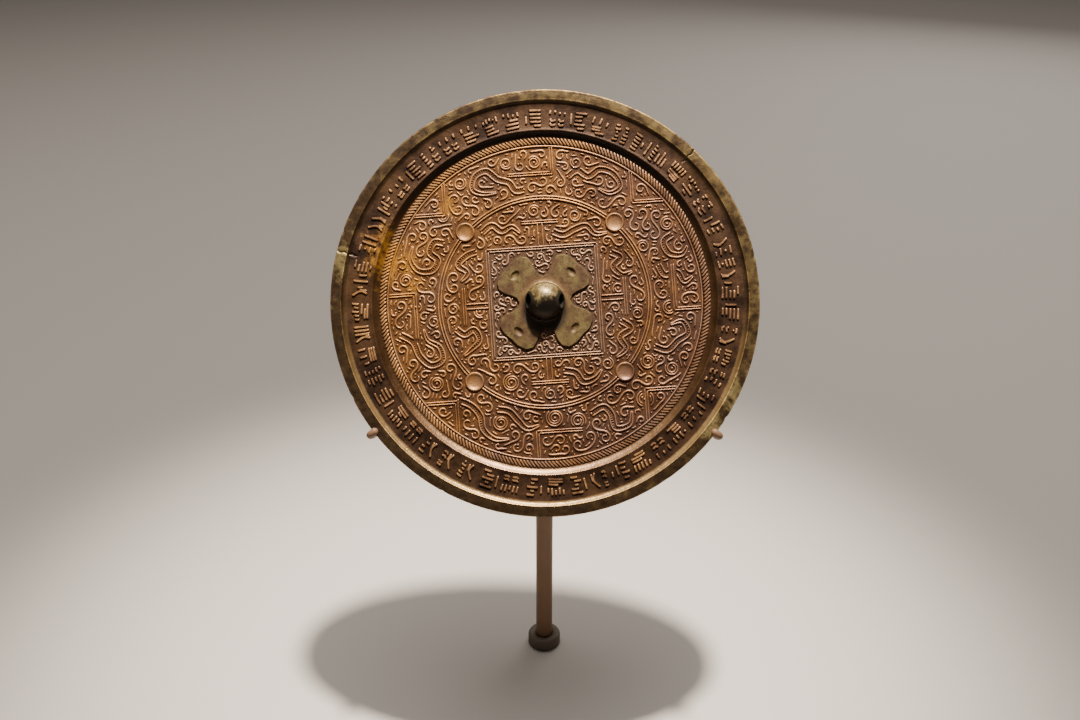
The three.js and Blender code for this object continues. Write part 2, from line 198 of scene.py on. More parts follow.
class Relief:
    """Many raised ridges and dots, each a closed shape, gathered into one mesh with a map from above."""

    def __init__(self):
        self.verts, self.faces, self.lift, self.hidden = [], [], [], []
        self.count = 0

    def ridge(self, points, half_width, height, ground=flat_ground, taper=0.7, section=ROUND_SECTION):
        """A ridge along points. taper is the length at each end over which it narrows and sinks."""
        points = np.asarray(points, float)
        ways = np.gradient(points, axis=0)
        ways /= np.linalg.norm(ways, axis=1)[:, None] + 1e-9
        across = np.stack([-ways[:, 1], ways[:, 0]], 1)
        steps = np.linalg.norm(np.diff(points, axis=0), axis=1)
        run = np.concatenate([[0], np.cumsum(steps)])
        from_end = np.minimum(run, run[-1] - run)
        fade = np.sqrt(np.clip(from_end / taper, 0, 1) * (1 - END_SHARE) + END_SHARE)
        radii = np.linalg.norm(points, axis=1)
        base = ground(radii)
        across_shape, up_shape = section
        n, k = len(points), len(across_shape)
        wide = (half_width * fade)[:, None] * across_shape
        flat = points[:, None, :] + across[:, None, :] * wide[:, :, None]
        rise = (height * fade)[:, None] * up_shape
        up = base[:, None] + np.where(up_shape == 0, -SINK, rise)
        self.verts.append(np.concatenate([flat, up[:, :, None]], 2).reshape(-1, 3))
        self.lift.append(np.repeat(up_shape[None], n, 0).ravel() * np.repeat(fade, k))
        start = self.count
        for i in range(n - 1):
            a, b = start + i * k, start + (i + 1) * k
            for j in range(k - 1):
                self.faces.append((a + j, a + j + 1, b + j + 1, b + j))
                self.hidden.append(False)
            self.faces.append((a + k - 1, a, b, b + k - 1))
            self.hidden.append(True)
        self.faces.append(tuple(range(start + k - 1, start - 1, -1)))
        self.faces.append(tuple(range(start + (n - 1) * k, start + n * k)))
        self.hidden += [False, False]
        self.count += n * k

    def dot(self, x, y, radius, height, sides=10):
        """A small dome on the flat field, of three rings and a top."""
        verts, lift = [], []
        for share, up in ((1.0, -SINK), (0.8, height * 0.6), (0.45, height * 0.92)):
            for angle in even_angles(sides):
                reach = radius * share
                verts.append((x + reach * math.cos(angle), y + reach * math.sin(angle), up))
                lift.append(max(up, 0) / height)
        verts.append((x, y, height))
        lift.append(1)
        start = self.count
        last_ring, top = start + 2 * sides, start + 3 * sides
        self.faces += ring_faces(start, sides) + ring_faces(start + sides, sides)
        self.faces += [(last_ring + i, last_ring + (i + 1) % sides, top) for i in range(sides)]
        self.faces.append(tuple(range(start + sides - 1, start - 1, -1)))
        self.hidden += [False] * (3 * sides) + [True]
        self.verts.append(np.array(verts))
        self.lift.append(np.array(lift))
        self.count += len(verts)

    def piece(self, name, material):
        verts, lift = np.concatenate(self.verts), np.concatenate(self.lift)
        made = add_piece(name, verts, self.faces, material, "mirror", "bronze", MIRROR_MATRIX, lift)
        self.lay_map(made.data, verts)

    def lay_map(self, mesh, verts):
        """A map seen from above, with the hidden feet in a corner that the round relief leaves free."""
        corner, spread = 0.02, 0.015
        reach = np.abs(verts[:, :2]).max()
        corners = np.empty(len(mesh.loops), np.int32)
        mesh.loops.foreach_get("vertex_index", corners)
        places = 0.5 + verts[corners, :2] / (2 * reach)
        starts = np.empty(len(mesh.polygons), np.int32)
        totals = np.empty(len(mesh.polygons), np.int32)
        mesh.polygons.foreach_get("loop_start", starts)
        mesh.polygons.foreach_get("loop_total", totals)
        hidden = np.repeat(np.array(self.hidden), totals)
        turn = (np.arange(len(corners)) - np.repeat(starts, totals)) / np.repeat(totals, totals) * TAU
        parked = corner + spread * np.stack([np.cos(turn), np.sin(turn)], 1)
        places[hidden] = parked[hidden]
        mesh.uv_layers.new(name="OFBake").uv.foreach_set("vector", places.astype(np.float32).ravel())


def turned(point, angle):
    """A point, or a pair of grids, turned anticlockwise round the mirror's centre."""
    x, y = point
    return (x * math.cos(angle) - y * math.sin(angle), x * math.sin(angle) + y * math.cos(angle))


def along_line(start, end, step=0.5):
    count = max(3, int(math.dist(start, end) / step) + 1)
    return np.linspace(start, end, count)


# ---- The layout: how far each place is from the strokes laid so far ----
class Layout:
    """A fine square grid over the mirror that holds each place's distance to the nearest stroke."""

    CELL = 0.1
    HALF = 72.0
    REACH = 2.6  # distances beyond this don't matter
    LIMIT = 69.0  # no stroke of the field reaches further along x or y

    def __init__(self):
        side = round(2 * self.HALF / self.CELL) + 1
        self.away = np.full((side, side), self.REACH)
        self.steps = int(self.REACH / self.CELL)
        span = np.arange(-self.steps, self.steps + 1) * self.CELL
        self.disc = np.hypot(*np.meshgrid(span, span))

    def cells(self, points):
        """The rows and columns of the cells that hold the points."""
        index = ((np.asarray(points) + self.HALF) / self.CELL + 0.5).astype(int)
        return index[..., 1], index[..., 0]

    def centres(self):
        """The x and y of every cell."""
        span = np.arange(len(self.away)) * self.CELL - self.HALF
        return np.meshgrid(span, span)

    def gap(self, points):
        return self.away[self.cells(points)]

    def add(self, points):
        for row, col in zip(*self.cells(points)):
            rows = slice(row - self.steps, row + self.steps + 1)
            cols = slice(col - self.steps, col + self.steps + 1)
            np.minimum(self.away[rows, cols], self.disc, out=self.away[rows, cols])

    def slope(self, x, y):
        """The direction in which the nearest stroke falls away fastest."""
        row, col = self.cells((x, y))
        dx = self.away[row, col + 2] - self.away[row, col - 2]
        dy = self.away[row + 2, col] - self.away[row - 2, col]
        size = math.hypot(dx, dy)
        return (dx / size, dy / size) if size > 1e-6 else (0.0, 0.0)


class Zone:
    """A part of the field: a grid that is true where a stroke may run, and a way to draw places in it."""

    def __init__(self, layout, mask):
        self.layout, self.mask = layout, mask
        self.cells = np.argwhere(mask)

    def holds(self, points):
        return self.mask[self.layout.cells(points)]

    def free_places(self, low, count, high=math.inf, draws=20000):
        """Up to count places, drawn by chance, whose distance to strokes is between low and high."""
        drawn = self.cells[dice.integers(0, len(self.cells), draws)]
        gaps = self.layout.away[drawn[:, 0], drawn[:, 1]]
        drawn = drawn[(gaps >= low) & (gaps <= high)][:count]
        return drawn[:, ::-1] * self.layout.CELL - self.layout.HALF


def smooth_path(points, step=STEP, fineness=24):
    """An even, smooth path through points, by Catmull-Rom."""
    points = np.asarray(points, float)
    padded = np.concatenate([[2 * points[0] - points[1]], points, [2 * points[-1] - points[-2]]])
    parts = []
    share = np.linspace(0, 1, fineness, endpoint=False)[:, None]
    for a, b, c, d in zip(padded, padded[1:], padded[2:], padded[3:]):
        bend = (2 * a - 5 * b + 4 * c - d) * share**2 + (3 * b - a - 3 * c + d) * share**3
        parts.append(b + ((c - a) * share + bend) / 2)
    dense = np.concatenate([*parts, points[-1:]])
    run = np.concatenate([[0], np.cumsum(np.linalg.norm(np.diff(dense, axis=0), axis=1))])
    even = np.linspace(0, run[-1], max(3, round(run[-1] / step) + 1))
    return np.stack([np.interp(even, run, dense[:, 0]), np.interp(even, run, dense[:, 1])], 1)


def offset_path(path, distance):
    """A path beside another one. The distance is one number, or one for each point."""
    ways = np.gradient(path, axis=0)
    ways /= np.linalg.norm(ways, axis=1)[:, None]
    return path + np.stack([-ways[:, 1], ways[:, 0]], 1) * np.reshape(distance, (-1, 1))


def clear_stretches(layout, zone, points, clear, shortest):
    """The stretches of a path that lie in the zone, keep clear of what is laid and aren't too short."""
    fine = zone.holds(points) & (layout.gap(points) >= clear)
    stretches, start = [], None
    for i, good in enumerate([*fine, False]):
        if good and start is None:
            start = i
        elif not good and start is not None:
            if (i - start) * STEP >= shortest:
                stretches.append(points[start:i])
            start = None
    return stretches


def coil(wide, tight, turn):
    """Curvatures of a stretch that winds from one radius down to another, turning by so much."""
    count = max(4, round(turn * (wide + tight) / 2 / STEP))
    return np.linspace(1 / wide, 1 / tight, count)


def scroll_shape(kind, wide, tight, turn, middle):
    """The points of one scroll: an S or a C with a coil at each end, or a J with one coil."""
    end = coil(wide, tight, turn)
    count = max(3, round(middle / STEP))
    if kind == "S":
        bends = [-end[::-1], np.linspace(-1 / wide, 1 / wide, count), end]
    elif kind == "C":
        bends = [end[::-1], np.full(count, 0.5 / wide), end]
    else:
        bends = [0.3 / wide * np.sin(np.linspace(0, 5, count)), end]
    heading = np.cumsum(np.concatenate(bends)) * STEP
    return np.stack([np.cumsum(np.cos(heading)), np.cumsum(np.sin(heading))], 1) * STEP


def crosses_itself(points, clear=0.95):
    """Whether points that aren't neighbours along a path come nearer than clear."""
    apart = np.linalg.norm(points[:, None] - points[None], axis=2)
    index = np.arange(len(points))
    along = np.abs(index[:, None] - index[None]) * STEP
    return bool(np.any((apart < clear) & (along > 2.2 * clear)))


def scattered(shape, starts):
    """Copies of a scroll round each of the starts, turned and mirrored by chance."""
    angles = dice.uniform(0, TAU, len(starts))
    hand = dice.choice((-1, 1), len(starts))
    x, y = shape[None, :, 0], shape[None, :, 1] * hand[:, None]
    cos, sin = np.cos(angles)[:, None], np.sin(angles)[:, None]
    copies = np.stack([x * cos - y * sin, x * sin + y * cos], 2) + starts[:, None]
    return np.clip(copies, -Layout.LIMIT, Layout.LIMIT)


def place_scrolls(layout, zone, relief, size, clear, misses_allowed=12, tries_at_once=600):
    """Lays scrolls of one size wherever they fit, each as close to its neighbours as it can be."""
    wide, tight, turn, longest = size
    misses = 0
    while misses < misses_allowed:
        kind = rng.choice("SSSCJJ")
        start_radius = wide * rng.uniform(0.85, 1.15)
        turning = turn * rng.uniform(0.85, 1.1)
        middle = longest * rng.uniform(0.2, 1)
        shape = scroll_shape(kind, start_radius, tight, turning, middle)
        if crosses_itself(shape):
            continue
        starts = zone.free_places(clear, tries_at_once)
        if not len(starts):
            return
        tries = scattered(shape - shape.mean(0), starts)
        gaps = layout.gap(tries)
        fits = zone.holds(tries).all(1) & (gaps.min(1) >= clear)
        if not fits.any():
            misses += 1
            continue
        misses = 0
        best = tries[np.argmin(np.where(fits, gaps.mean(1), math.inf))]
        layout.add(best)
        swell = 0.94 * (0.9 + 0.6 * np.sin(np.linspace(0, math.pi, len(best))))
        relief.ridge(best, RIDGE_HALF_WIDTH * swell, RIDGE_HEIGHT * rng.uniform(0.95, 1.15))
        ball = best[-1] + (best[-1] - best[-2]) * 0.3
        relief.dot(*ball, DOT_RADIUS, DOT_HEIGHT, sides=8)


def follow(layout, zone, start, forward, longest):
    """A path from start that runs beside the strokes already laid, at the ridges' spacing."""
    steer, pull = 0.6, 0.8  # how quickly the path turns along its neighbours, and to the right distance
    nearest, nearest_to_itself = 0.8 * RIDGE_SPACING, 0.75 * RIDGE_SPACING
    x, y = start
    nx, ny = layout.slope(x, y)
    dx, dy = (-ny, nx) if forward else (ny, -nx)
    points = [(x, y)]
    while (len(points) - 1) * STEP < longest:
        nx, ny = layout.slope(x, y)
        tx, ty = -ny, nx
        if tx * dx + ty * dy < 0:
            tx, ty = -tx, -ty
        push = pull * (RIDGE_SPACING - float(layout.gap((x, y))))
        dx = (1 - steer) * dx + steer * (tx + push * nx)
        dy = (1 - steer) * dy + steer * (ty + push * ny)
        size = math.hypot(dx, dy) or 1
        dx, dy = dx / size, dy / size
        x, y = x + dx * STEP, y + dy * STEP
        cell = layout.cells((x, y))
        if not zone.mask[cell] or layout.away[cell] < nearest:
            break
        if any(math.hypot(x - ox, y - oy) < nearest_to_itself for ox, oy in points[:-5]):
            break
        points.append((x, y))
    return points


def fill_between(layout, zone, relief, rounds=60, each_round=40):
    """Short ridges that run beside their neighbours in the room that the scrolls leave."""
    low, high, shortest = 0.93 * RIDGE_SPACING, 1.12 * RIDGE_SPACING, 1.3
    for _ in range(rounds):
        for place in zone.free_places(low, each_round, high):
            if not low <= layout.gap(place) <= high:
                continue
            longest = rng.uniform(0.7, 2.4)
            ahead = follow(layout, zone, place, True, longest)
            behind = follow(layout, zone, place, False, longest)
            whole = np.array(behind[:0:-1] + ahead)
            if len(whole) * STEP < shortest:
                continue
            layout.add(whole)
            relief.ridge(whole, RIDGE_HALF_WIDTH * 0.92, RIDGE_HEIGHT * rng.uniform(0.7, 0.95))


def add_grains(layout, zone, relief, rounds=4, each_round=20):
    """Small dots in the gaps that are left."""
    clear = 0.95
    for _ in range(rounds):
        for place in zone.free_places(clear, each_round):
            if layout.gap(place) >= clear:
                relief.dot(*place, GRAIN_RADIUS, GRAIN_HEIGHT, sides=7)
                layout.add([place])


def add_rosette(layout, zone, relief, x, y, outer):
    """A coil round a boss-like dot."""
    inner, spacing, dot_radius = 1.25, 1.15, 0.62
    turns = max(1.0, (outer - inner) / spacing + 0.25)
    count = int(TAU * turns * (outer + inner) / 2 / STEP)
    share = np.linspace(0, 1, count)
    swing = rng.uniform(0, TAU) + rng.choice((-1, 1)) * TAU * turns * share
    reach = inner + (outer - inner) * share
    points = np.stack([x + reach * np.cos(swing), y + reach * np.sin(swing)], 1)
    for stretch in clear_stretches(layout, zone, points, clear=0.75, shortest=1.0):
        relief.ridge(stretch, RIDGE_HALF_WIDTH * 1.1, RIDGE_HEIGHT * 1.05)
    relief.dot(x, y, dot_radius, DOT_HEIGHT)
    layout.add(points)
    layout.add([(x, y)])


def add_beast(layout, zone, relief, spine, half_width=1.2):
    """An animal's winding body: outlines that close in at the tail, ribs along one side and an eye."""
    clear = 0.8
    path = smooth_path(spine)
    share = np.linspace(0, 1, len(path))
    half = half_width * np.minimum(1, 1.3 * np.sqrt(1 - share) + 0.05)
    laid = []
    for side in (-1, 1):
        outline = offset_path(path, side * half)
        for stretch in clear_stretches(layout, zone, outline, clear, shortest=1.2):
            relief.ridge(stretch, RIDGE_HALF_WIDTH * 1.1, RIDGE_HEIGHT * 1.1)
            laid.append(stretch)
    inner_ends, outer_ends = offset_path(path, 0.1 - half), offset_path(path, half * 0.2)
    for i in range(4, len(path) - 4, 3):
        if half[i] > clear and zone.mask[layout.cells(path[i])] and layout.gap(path[i]) > clear:
            relief.ridge(along_line(inner_ends[i], outer_ends[i]), RIB_HALF_WIDTH, RIB_HEIGHT, taper=0.2)
    relief.dot(*path[1], DOT_RADIUS, DOT_HEIGHT)
    for stretch in [*laid, path]:
        layout.add(stretch)


def band_ground(radii):
    """The height of the band of inscription, which is slightly dished, at each radius."""
    middle = (STEP_FOOT + BAND_INNER) / 2
    half = (STEP_FOOT - BAND_INNER) / 2
    return BAND_HEIGHT - BAND_DISH * (1 - ((radii - middle) / half) ** 2)


def comb_ground(radii):
    """The height of the comb band, which rises outwards, at each radius."""
    share = np.clip((radii - COMB_INNER) / (COMB_OUTER - COMB_INNER), 0, 1)
    return COMB_INNER_HEIGHT + (COMB_OUTER_HEIGHT - COMB_INNER_HEIGHT) * share


def leaf_radius(angle):
    """The leaves' outline as a radius, from the angle in the ornament's own turn."""
    off = abs(math.degrees(angle % (TAU / 4)) - 45)
    return float(np.interp(off, *zip(*LEAF_OUTLINE)))


# ---- The fixed lines of the pattern ----
def side_lines():
    """The double lines of one side of the square: its edge, its T and its L, for the side at the top."""
    lines = []
    for step in (0, LINE_SPACING):
        half = SQUARE_HALF - step
        lines.append(((-half, half), (half, half)))
        bar = T_BAR_DISTANCE - step
        lines.append(((-T_BAR_LENGTH / 2, bar), (T_BAR_LENGTH / 2, bar)))
        foot = L_BAR_DISTANCE - step
        stem = L_BAR_STEM_END + step - LINE_SPACING
        lines.append(((L_BAR_LONG_END, foot), (stem, foot)))
        lines.append(((stem, foot), (stem, math.sqrt(FIELD_LINE**2 - stem**2))))
    for side in (-T_STEM_SPACING / 2, T_STEM_SPACING / 2):
        lines.append(((side, SQUARE_HALF), (side, T_BAR_DISTANCE - LINE_SPACING)))
    return lines


def corner_lines():
    """The V of one corner."""
    lines = []
    for step in (0, LINE_SPACING):
        apex = V_APEX + step
        reach = math.sqrt(FIELD_LINE**2 - apex**2)
        lines.append(((apex, apex), (reach, apex)))
        lines.append(((apex, apex), (apex, reach)))
    return lines


def circle(radius, centre=(0, 0)):
    count = int(TAU * radius / STEP)
    angles = np.linspace(0, TAU, count, endpoint=False)
    return np.stack([centre[0] + radius * np.cos(angles), centre[1] + radius * np.sin(angles)], 1)


pattern_lines = [
    (turned(start, quarter + ORNAMENT_TURN), turned(end, quarter + ORNAMENT_TURN))
    for quarter in QUARTERS
    for start, end in side_lines() + corner_lines()
]
boss_centres = [turned((BOSS_DISTANCE, 0), quarter + TAU / 8 + ORNAMENT_TURN) for quarter in QUARTERS]

layout = Layout()
for start, end in pattern_lines:
    layout.add(along_line(start, end, STEP))
for radius in (FIELD_LINE, *RINGS):
    layout.add(circle(radius))
for centre in boss_centres:
    layout.add(circle(BOSS_RADIUS, centre))
LEAF_POINTS = 480
leaf_angles = even_angles(LEAF_POINTS)
leaf_outline = [turned((leaf_radius(angle), 0), angle + ORNAMENT_TURN) for angle in leaf_angles]
layout.add(leaf_outline)

# ---- Zones of scrollwork, as grids that are true where a stroke may run ----
MARGIN = 0.5  # between a zone and the lines round it
grid_x, grid_y = layout.centres()
grid_radius = np.hypot(grid_x, grid_y)
square_u, square_v = turned((grid_x, grid_y), -ORNAMENT_TURN)
from_side = np.maximum(np.abs(square_u), np.abs(square_v))
grid_angle = np.degrees(np.arctan2(square_v, square_u)) % 90 - 45
leaf_reach = np.interp(np.abs(grid_angle), *zip(*LEAF_OUTLINE))
to_boss = np.min([np.hypot(grid_x - x, grid_y - y) for x, y in boss_centres], axis=0)
off_bosses = to_boss > BOSS_RADIUS + MARGIN
past_rings = grid_radius > RINGS[0] + MARGIN
in_rings = grid_radius < RINGS[1] - MARGIN
in_square = from_side < SQUARE_HALF - LINE_SPACING - MARGIN
outer_zone = Zone(layout, past_rings & (grid_radius < FIELD_LINE - MARGIN) & off_bosses)
inner_zone = Zone(layout, in_rings & (from_side > SQUARE_HALF + MARGIN) & off_bosses)
middle_zone = Zone(layout, in_square & (grid_radius > leaf_reach + MARGIN))


# ---- Materials ----
def srgb(*levels):
    """A colour given as three sRGB levels from about 10 to 255, as linear values."""
    linear = [((level / 255 + 0.055) / 1.055) ** 2.4 for level in levels]
    return (*linear, 1)


class Shader:
    """A short way to write node trees."""

    def __init__(self, name):
        self.material = bpy.data.materials.new(name)
        self.material.use_nodes = True
        self.nodes = self.material.node_tree.nodes
        self.links = self.material.node_tree.links
        self.surface = self.nodes["Principled BSDF"]
        self.place = self.nodes.new("ShaderNodeTexCoord").outputs["Object"]

    def node(self, kind, values, **settings):
        """A node with its inputs set, each to a value or to another node's output."""
        made = self.nodes.new("ShaderNode" + kind)
        for key, value in settings.items():
            setattr(made, key, value)
        for key, value in values.items():
            if hasattr(value, "is_linked"):
                self.links.new(value, made.inputs[key])
            else:
                made.inputs[key].default_value = value
        return made

    def noise(self, size_mm, detail=4, roughness=0.55):
        """Noise from 0 to 1 whose features are about size_mm across."""
        scale = 1 / (size_mm * MM)
        values = {"Vector": self.place, "Scale": scale, "Detail": detail, "Roughness": roughness}
        return self.node("TexNoise", values).outputs["Fac"]

    def math(self, operation, *inputs):
        return self.node("Math", dict(enumerate(inputs)), operation=operation).outputs[0]

    def scaled(self, value, factor, offset=0.0):
        return self.math("MULTIPLY_ADD", value, factor, offset)

    def step(self, value, low, high):
        """0 below low, 1 above high, smooth between. It falls instead where low is above high."""
        made = self.node("MapRange", {"Value": value, "From Min": low, "From Max": high})
        made.interpolation_type = "SMOOTHSTEP"
        return made.outputs[0]

    def step_mm(self, value, low, high):
        return self.step(value, low * MM, high * MM)

    def length(self, vector):
        return self.node("VectorMath", {0: vector}, operation="LENGTH").outputs["Value"]

    def mix(self, share, a, b, blend="MIX"):
        return self.node("Mix", {0: share, 6: a, 7: b}, data_type="RGBA", blend_type=blend).outputs[2]

    def mix_part(self, share, most, a, b):
        """A mix in which b covers no more than a certain part."""
        return self.mix(self.math("MULTIPLY", share, most), a, b)

    def times(self, colour, factors):
        return self.mix(1.0, colour, factors, "MULTIPLY")

    def finish(self, colour, roughness, metallic, bump, bump_strength, bump_mm):
        """Joins everything to the surface and gives the finished material."""
        values = {"Height": bump, "Strength": bump_strength, "Distance": bump_mm * MM}
        self.links.new(self.node("Bump", values).outputs[0], self.surface.inputs["Normal"])
        self.links.new(colour, self.surface.inputs["Base Color"])
        self.links.new(roughness, self.surface.inputs["Roughness"])
        self.surface.inputs["Metallic"].default_value = metallic
        return self.material


class Patina(Shader):
    """A shader on the mirror, with the places and the noises that its colours are drawn from."""

    def __init__(self, name, blotch_mm, mottle_mm, speck_mm):
        super().__init__(name)
        self.x, self.y, self.z = self.node("SeparateXYZ", {0: self.place}).outputs
        self.flat = self.node("CombineXYZ", {0: self.x, 1: self.y}).outputs[0]
        self.radius = self.length(self.flat)
        self.blotch = self.noise(blotch_mm, detail=5, roughness=0.65)
        self.mottle = self.noise(mottle_mm, detail=5, roughness=0.7)
        self.speck = self.noise(speck_mm, detail=4, roughness=0.7)

    def ragged_patch(self, spot):
        """1 in a patch round a spot of the mirror, 0 outside. A spot is its centre and half sizes."""
        x, y, wide, tall = spot
        shift = (-x / wide, -y / tall, 0)
        scale = (1 / (wide * MM), 1 / (tall * MM), 1)
        values = {"Vector": self.flat, "Location": shift, "Scale": scale}
        from_spot = self.length(self.node("Mapping", values).outputs[0])
        ragged = self.math("SUBTRACT", self.scaled(self.blotch, 2.4), from_spot)
        return self.step(ragged, 0.1, 0.7)


def field_colour(s, drift, lift):
    """The field: brown to gold, more golden to the left and the top, stained, greyer in the square."""
    toward = s.scaled(s.x, -3.0, s.scaled(s.y, 1.2, 0.2))
    golden = s.step(s.scaled(drift, 0.7, s.math("ADD", toward, s.blotch)), 0.75, 1.35)
    field = s.mix(golden, srgb(126, 92, 72), srgb(172, 124, 72))
    stains = s.step(s.scaled(s.blotch, 0.35, s.noise(15, detail=3)), 0.66, 0.8)
    field = s.mix(stains, field, s.times(field, (0.62, 0.58, 0.56, 1)))
    field = s.mix_part(s.step(s.noise(21), 0.5, 0.66), 0.55, field, srgb(128, 102, 88))
    in_comb = s.step_mm(s.radius, FIELD_LINE + 0.4, COMB_INNER)
    tarnished = s.math("MULTIPLY", in_comb, s.scaled(lift, -0.45, 0.8))
    field = s.mix(tarnished, field, srgb(74, 51, 31))
    turn = {"Vector": s.place, "Angle": -ORNAMENT_TURN}
    along = s.node("VectorRotate", turn, rotation_type="Z_AXIS").outputs[0]
    u, v, _ = s.node("SeparateXYZ", {0: along}).outputs
    side = s.math("MAXIMUM", s.math("ABSOLUTE", u), s.math("ABSOLUTE", v))
    in_square = s.step_mm(side, SQUARE_HALF + 2, SQUARE_HALF - 1.5)
    return s.mix_part(in_square, 0.8, field, srgb(134, 108, 90))


def band_colour(s, drift):
    """The band of inscription: darker than the field, with a purple tinge and golden patches."""
    band = s.mix(s.step(s.blotch, 0.34, 0.66), srgb(66, 46, 33), srgb(114, 85, 60))
    return s.mix_part(s.step(drift, 0.5, 0.66), 0.4, band, srgb(138, 102, 60))


def slope_colour(s):
    """The slope: mottled, with painted shade above and painted light below."""
    slope = s.mix(s.blotch, srgb(70, 48, 28), srgb(132, 98, 60))
    # Painted shade: the upper slope darkens towards the top.
    slope = s.mix(s.step_mm(s.y, 10, 60), slope, srgb(52, 37, 23))
    # Painted light: the lower slope brightens towards the bottom.
    return s.mix(s.step_mm(s.y, -30, -66), slope, srgb(172, 138, 100))


def rim_colour(s):
    """The rim: olive brown and mottled, with paler patches of green and gold."""
    rim = s.mix(s.step(s.mottle, 0.3, 0.7), srgb(44, 31, 18), srgb(70, 51, 30))
    up_right = s.scaled(s.y, 1.1, s.math("MULTIPLY", s.x, 1.2))
    patch = s.scaled(s.mottle, 0.5, s.scaled(s.blotch, 1.2, up_right))
    rim = s.mix_part(s.step(patch, 0.8, 1.2), 0.75, rim, srgb(112, 93, 55))
    for spot in PALE_PATCHES:
        pale = s.math("MULTIPLY", s.ragged_patch(spot), s.step(s.mottle, 0.3, 0.6))
        rim = s.mix_part(pale, 0.8, rim, srgb(142, 124, 80))
    return rim


def face_colour(s, drift):
    """The plain reflecting face behind: dark, with clouds of green."""
    face = s.mix(s.step(drift, 0.4, 0.62), srgb(84, 70, 50), srgb(82, 88, 66))
    return s.mix(s.step(s.mottle, 0.52, 0.7), face, srgb(112, 104, 74))


def bronze_material():
    """Old bronze: golden brown in the field, darker on the band, olive on the rim."""
    s = Patina("bronze", blotch_mm=8, mottle_mm=2.6, speck_mm=0.9)
    lift = s.node("Attribute", {}, attribute_name="lift").outputs["Fac"]
    drift = s.noise(34, detail=3)
    in_band = s.step_mm(s.radius, BAND_INNER - 0.4, BAND_INNER + 0.5)
    past_comb = s.step_mm(s.radius, COMB_OUTER, COMB_OUTER + 0.3)
    in_slope = s.math("MULTIPLY", past_comb, s.step_mm(s.radius, BAND_INNER + 0.2, BAND_INNER - 0.1))
    on_rim = s.step_mm(s.radius, RIM_INNER - 1.2, RIM_INNER + 0.1)
    off_step = s.math("ABSOLUTE", s.math("SUBTRACT", s.radius, (STEP_FOOT + RIM_INNER) / 2 * MM))
    in_step = s.step_mm(off_step, 1.3, 0.7)
    behind = s.step_mm(s.z, -1.2, -1.9)

    colour = s.mix(in_band, field_colour(s, drift, lift), band_colour(s, drift))
    colour = s.mix(in_slope, colour, slope_colour(s))
    colour = s.mix(on_rim, colour, rim_colour(s))
    # The step at the rim's foot is painted with golden light below and dark shade above.
    step = s.mix(s.step_mm(s.y, -40, 5), srgb(158, 128, 82), srgb(44, 32, 20))
    colour = s.mix_part(in_step, 0.6, colour, step)
    # Crests are rubbed bright and carry a painted highlight, and dirt with painted shade lies in the ground
    # between them.
    rough_lift = s.scaled(s.mottle, 0.5, lift)
    on_ornament = s.step_mm(s.radius, STEP_FOOT + 0.2, STEP_FOOT - 0.6)
    low = s.math("MULTIPLY", on_ornament, s.step(rough_lift, 0.75, 0.2))
    colour = s.mix(low, colour, s.times(colour, (0.42, 0.37, 0.34, 1)))
    wear_and_highlight_gain = s.mix(in_band, (2.0, 1.95, 1.85, 1), (3.0, 2.9, 2.6, 1))
    colour = s.mix(s.step(rough_lift, 0.95, 1.35), colour, s.times(colour, wear_and_highlight_gain))
    colour = s.mix(s.step(s.speck, 0.6, 0.72), colour, s.times(colour, (0.55, 0.52, 0.5, 1)))
    # Yellow-orange crust lies across the band and comb at the left, and in smaller spots on the field.
    for spot in CRUSTS:
        crust = s.math("MULTIPLY", s.ragged_patch(spot), s.step(s.mottle, 0.34, 0.6))
        colour = s.mix_part(crust, 0.75, colour, srgb(180, 124, 46))
    colour = s.mix(behind, colour, face_colour(s, drift))

    smooth = s.scaled(s.math("MAXIMUM", in_slope, in_step), -0.13, 0.34)
    roughness = s.scaled(s.blotch, 0.25, s.scaled(behind, -0.06, smooth))
    pits = s.scaled(s.speck, 0.7, s.math("MULTIPLY", s.mottle, 1.2))
    shallow = s.scaled(behind, -0.8, 1)
    bump = s.math("MULTIPLY", pits, shallow)
    return s.finish(colour, roughness, metallic=0.68, bump=bump, bump_strength=0.55, bump_mm=0.2)


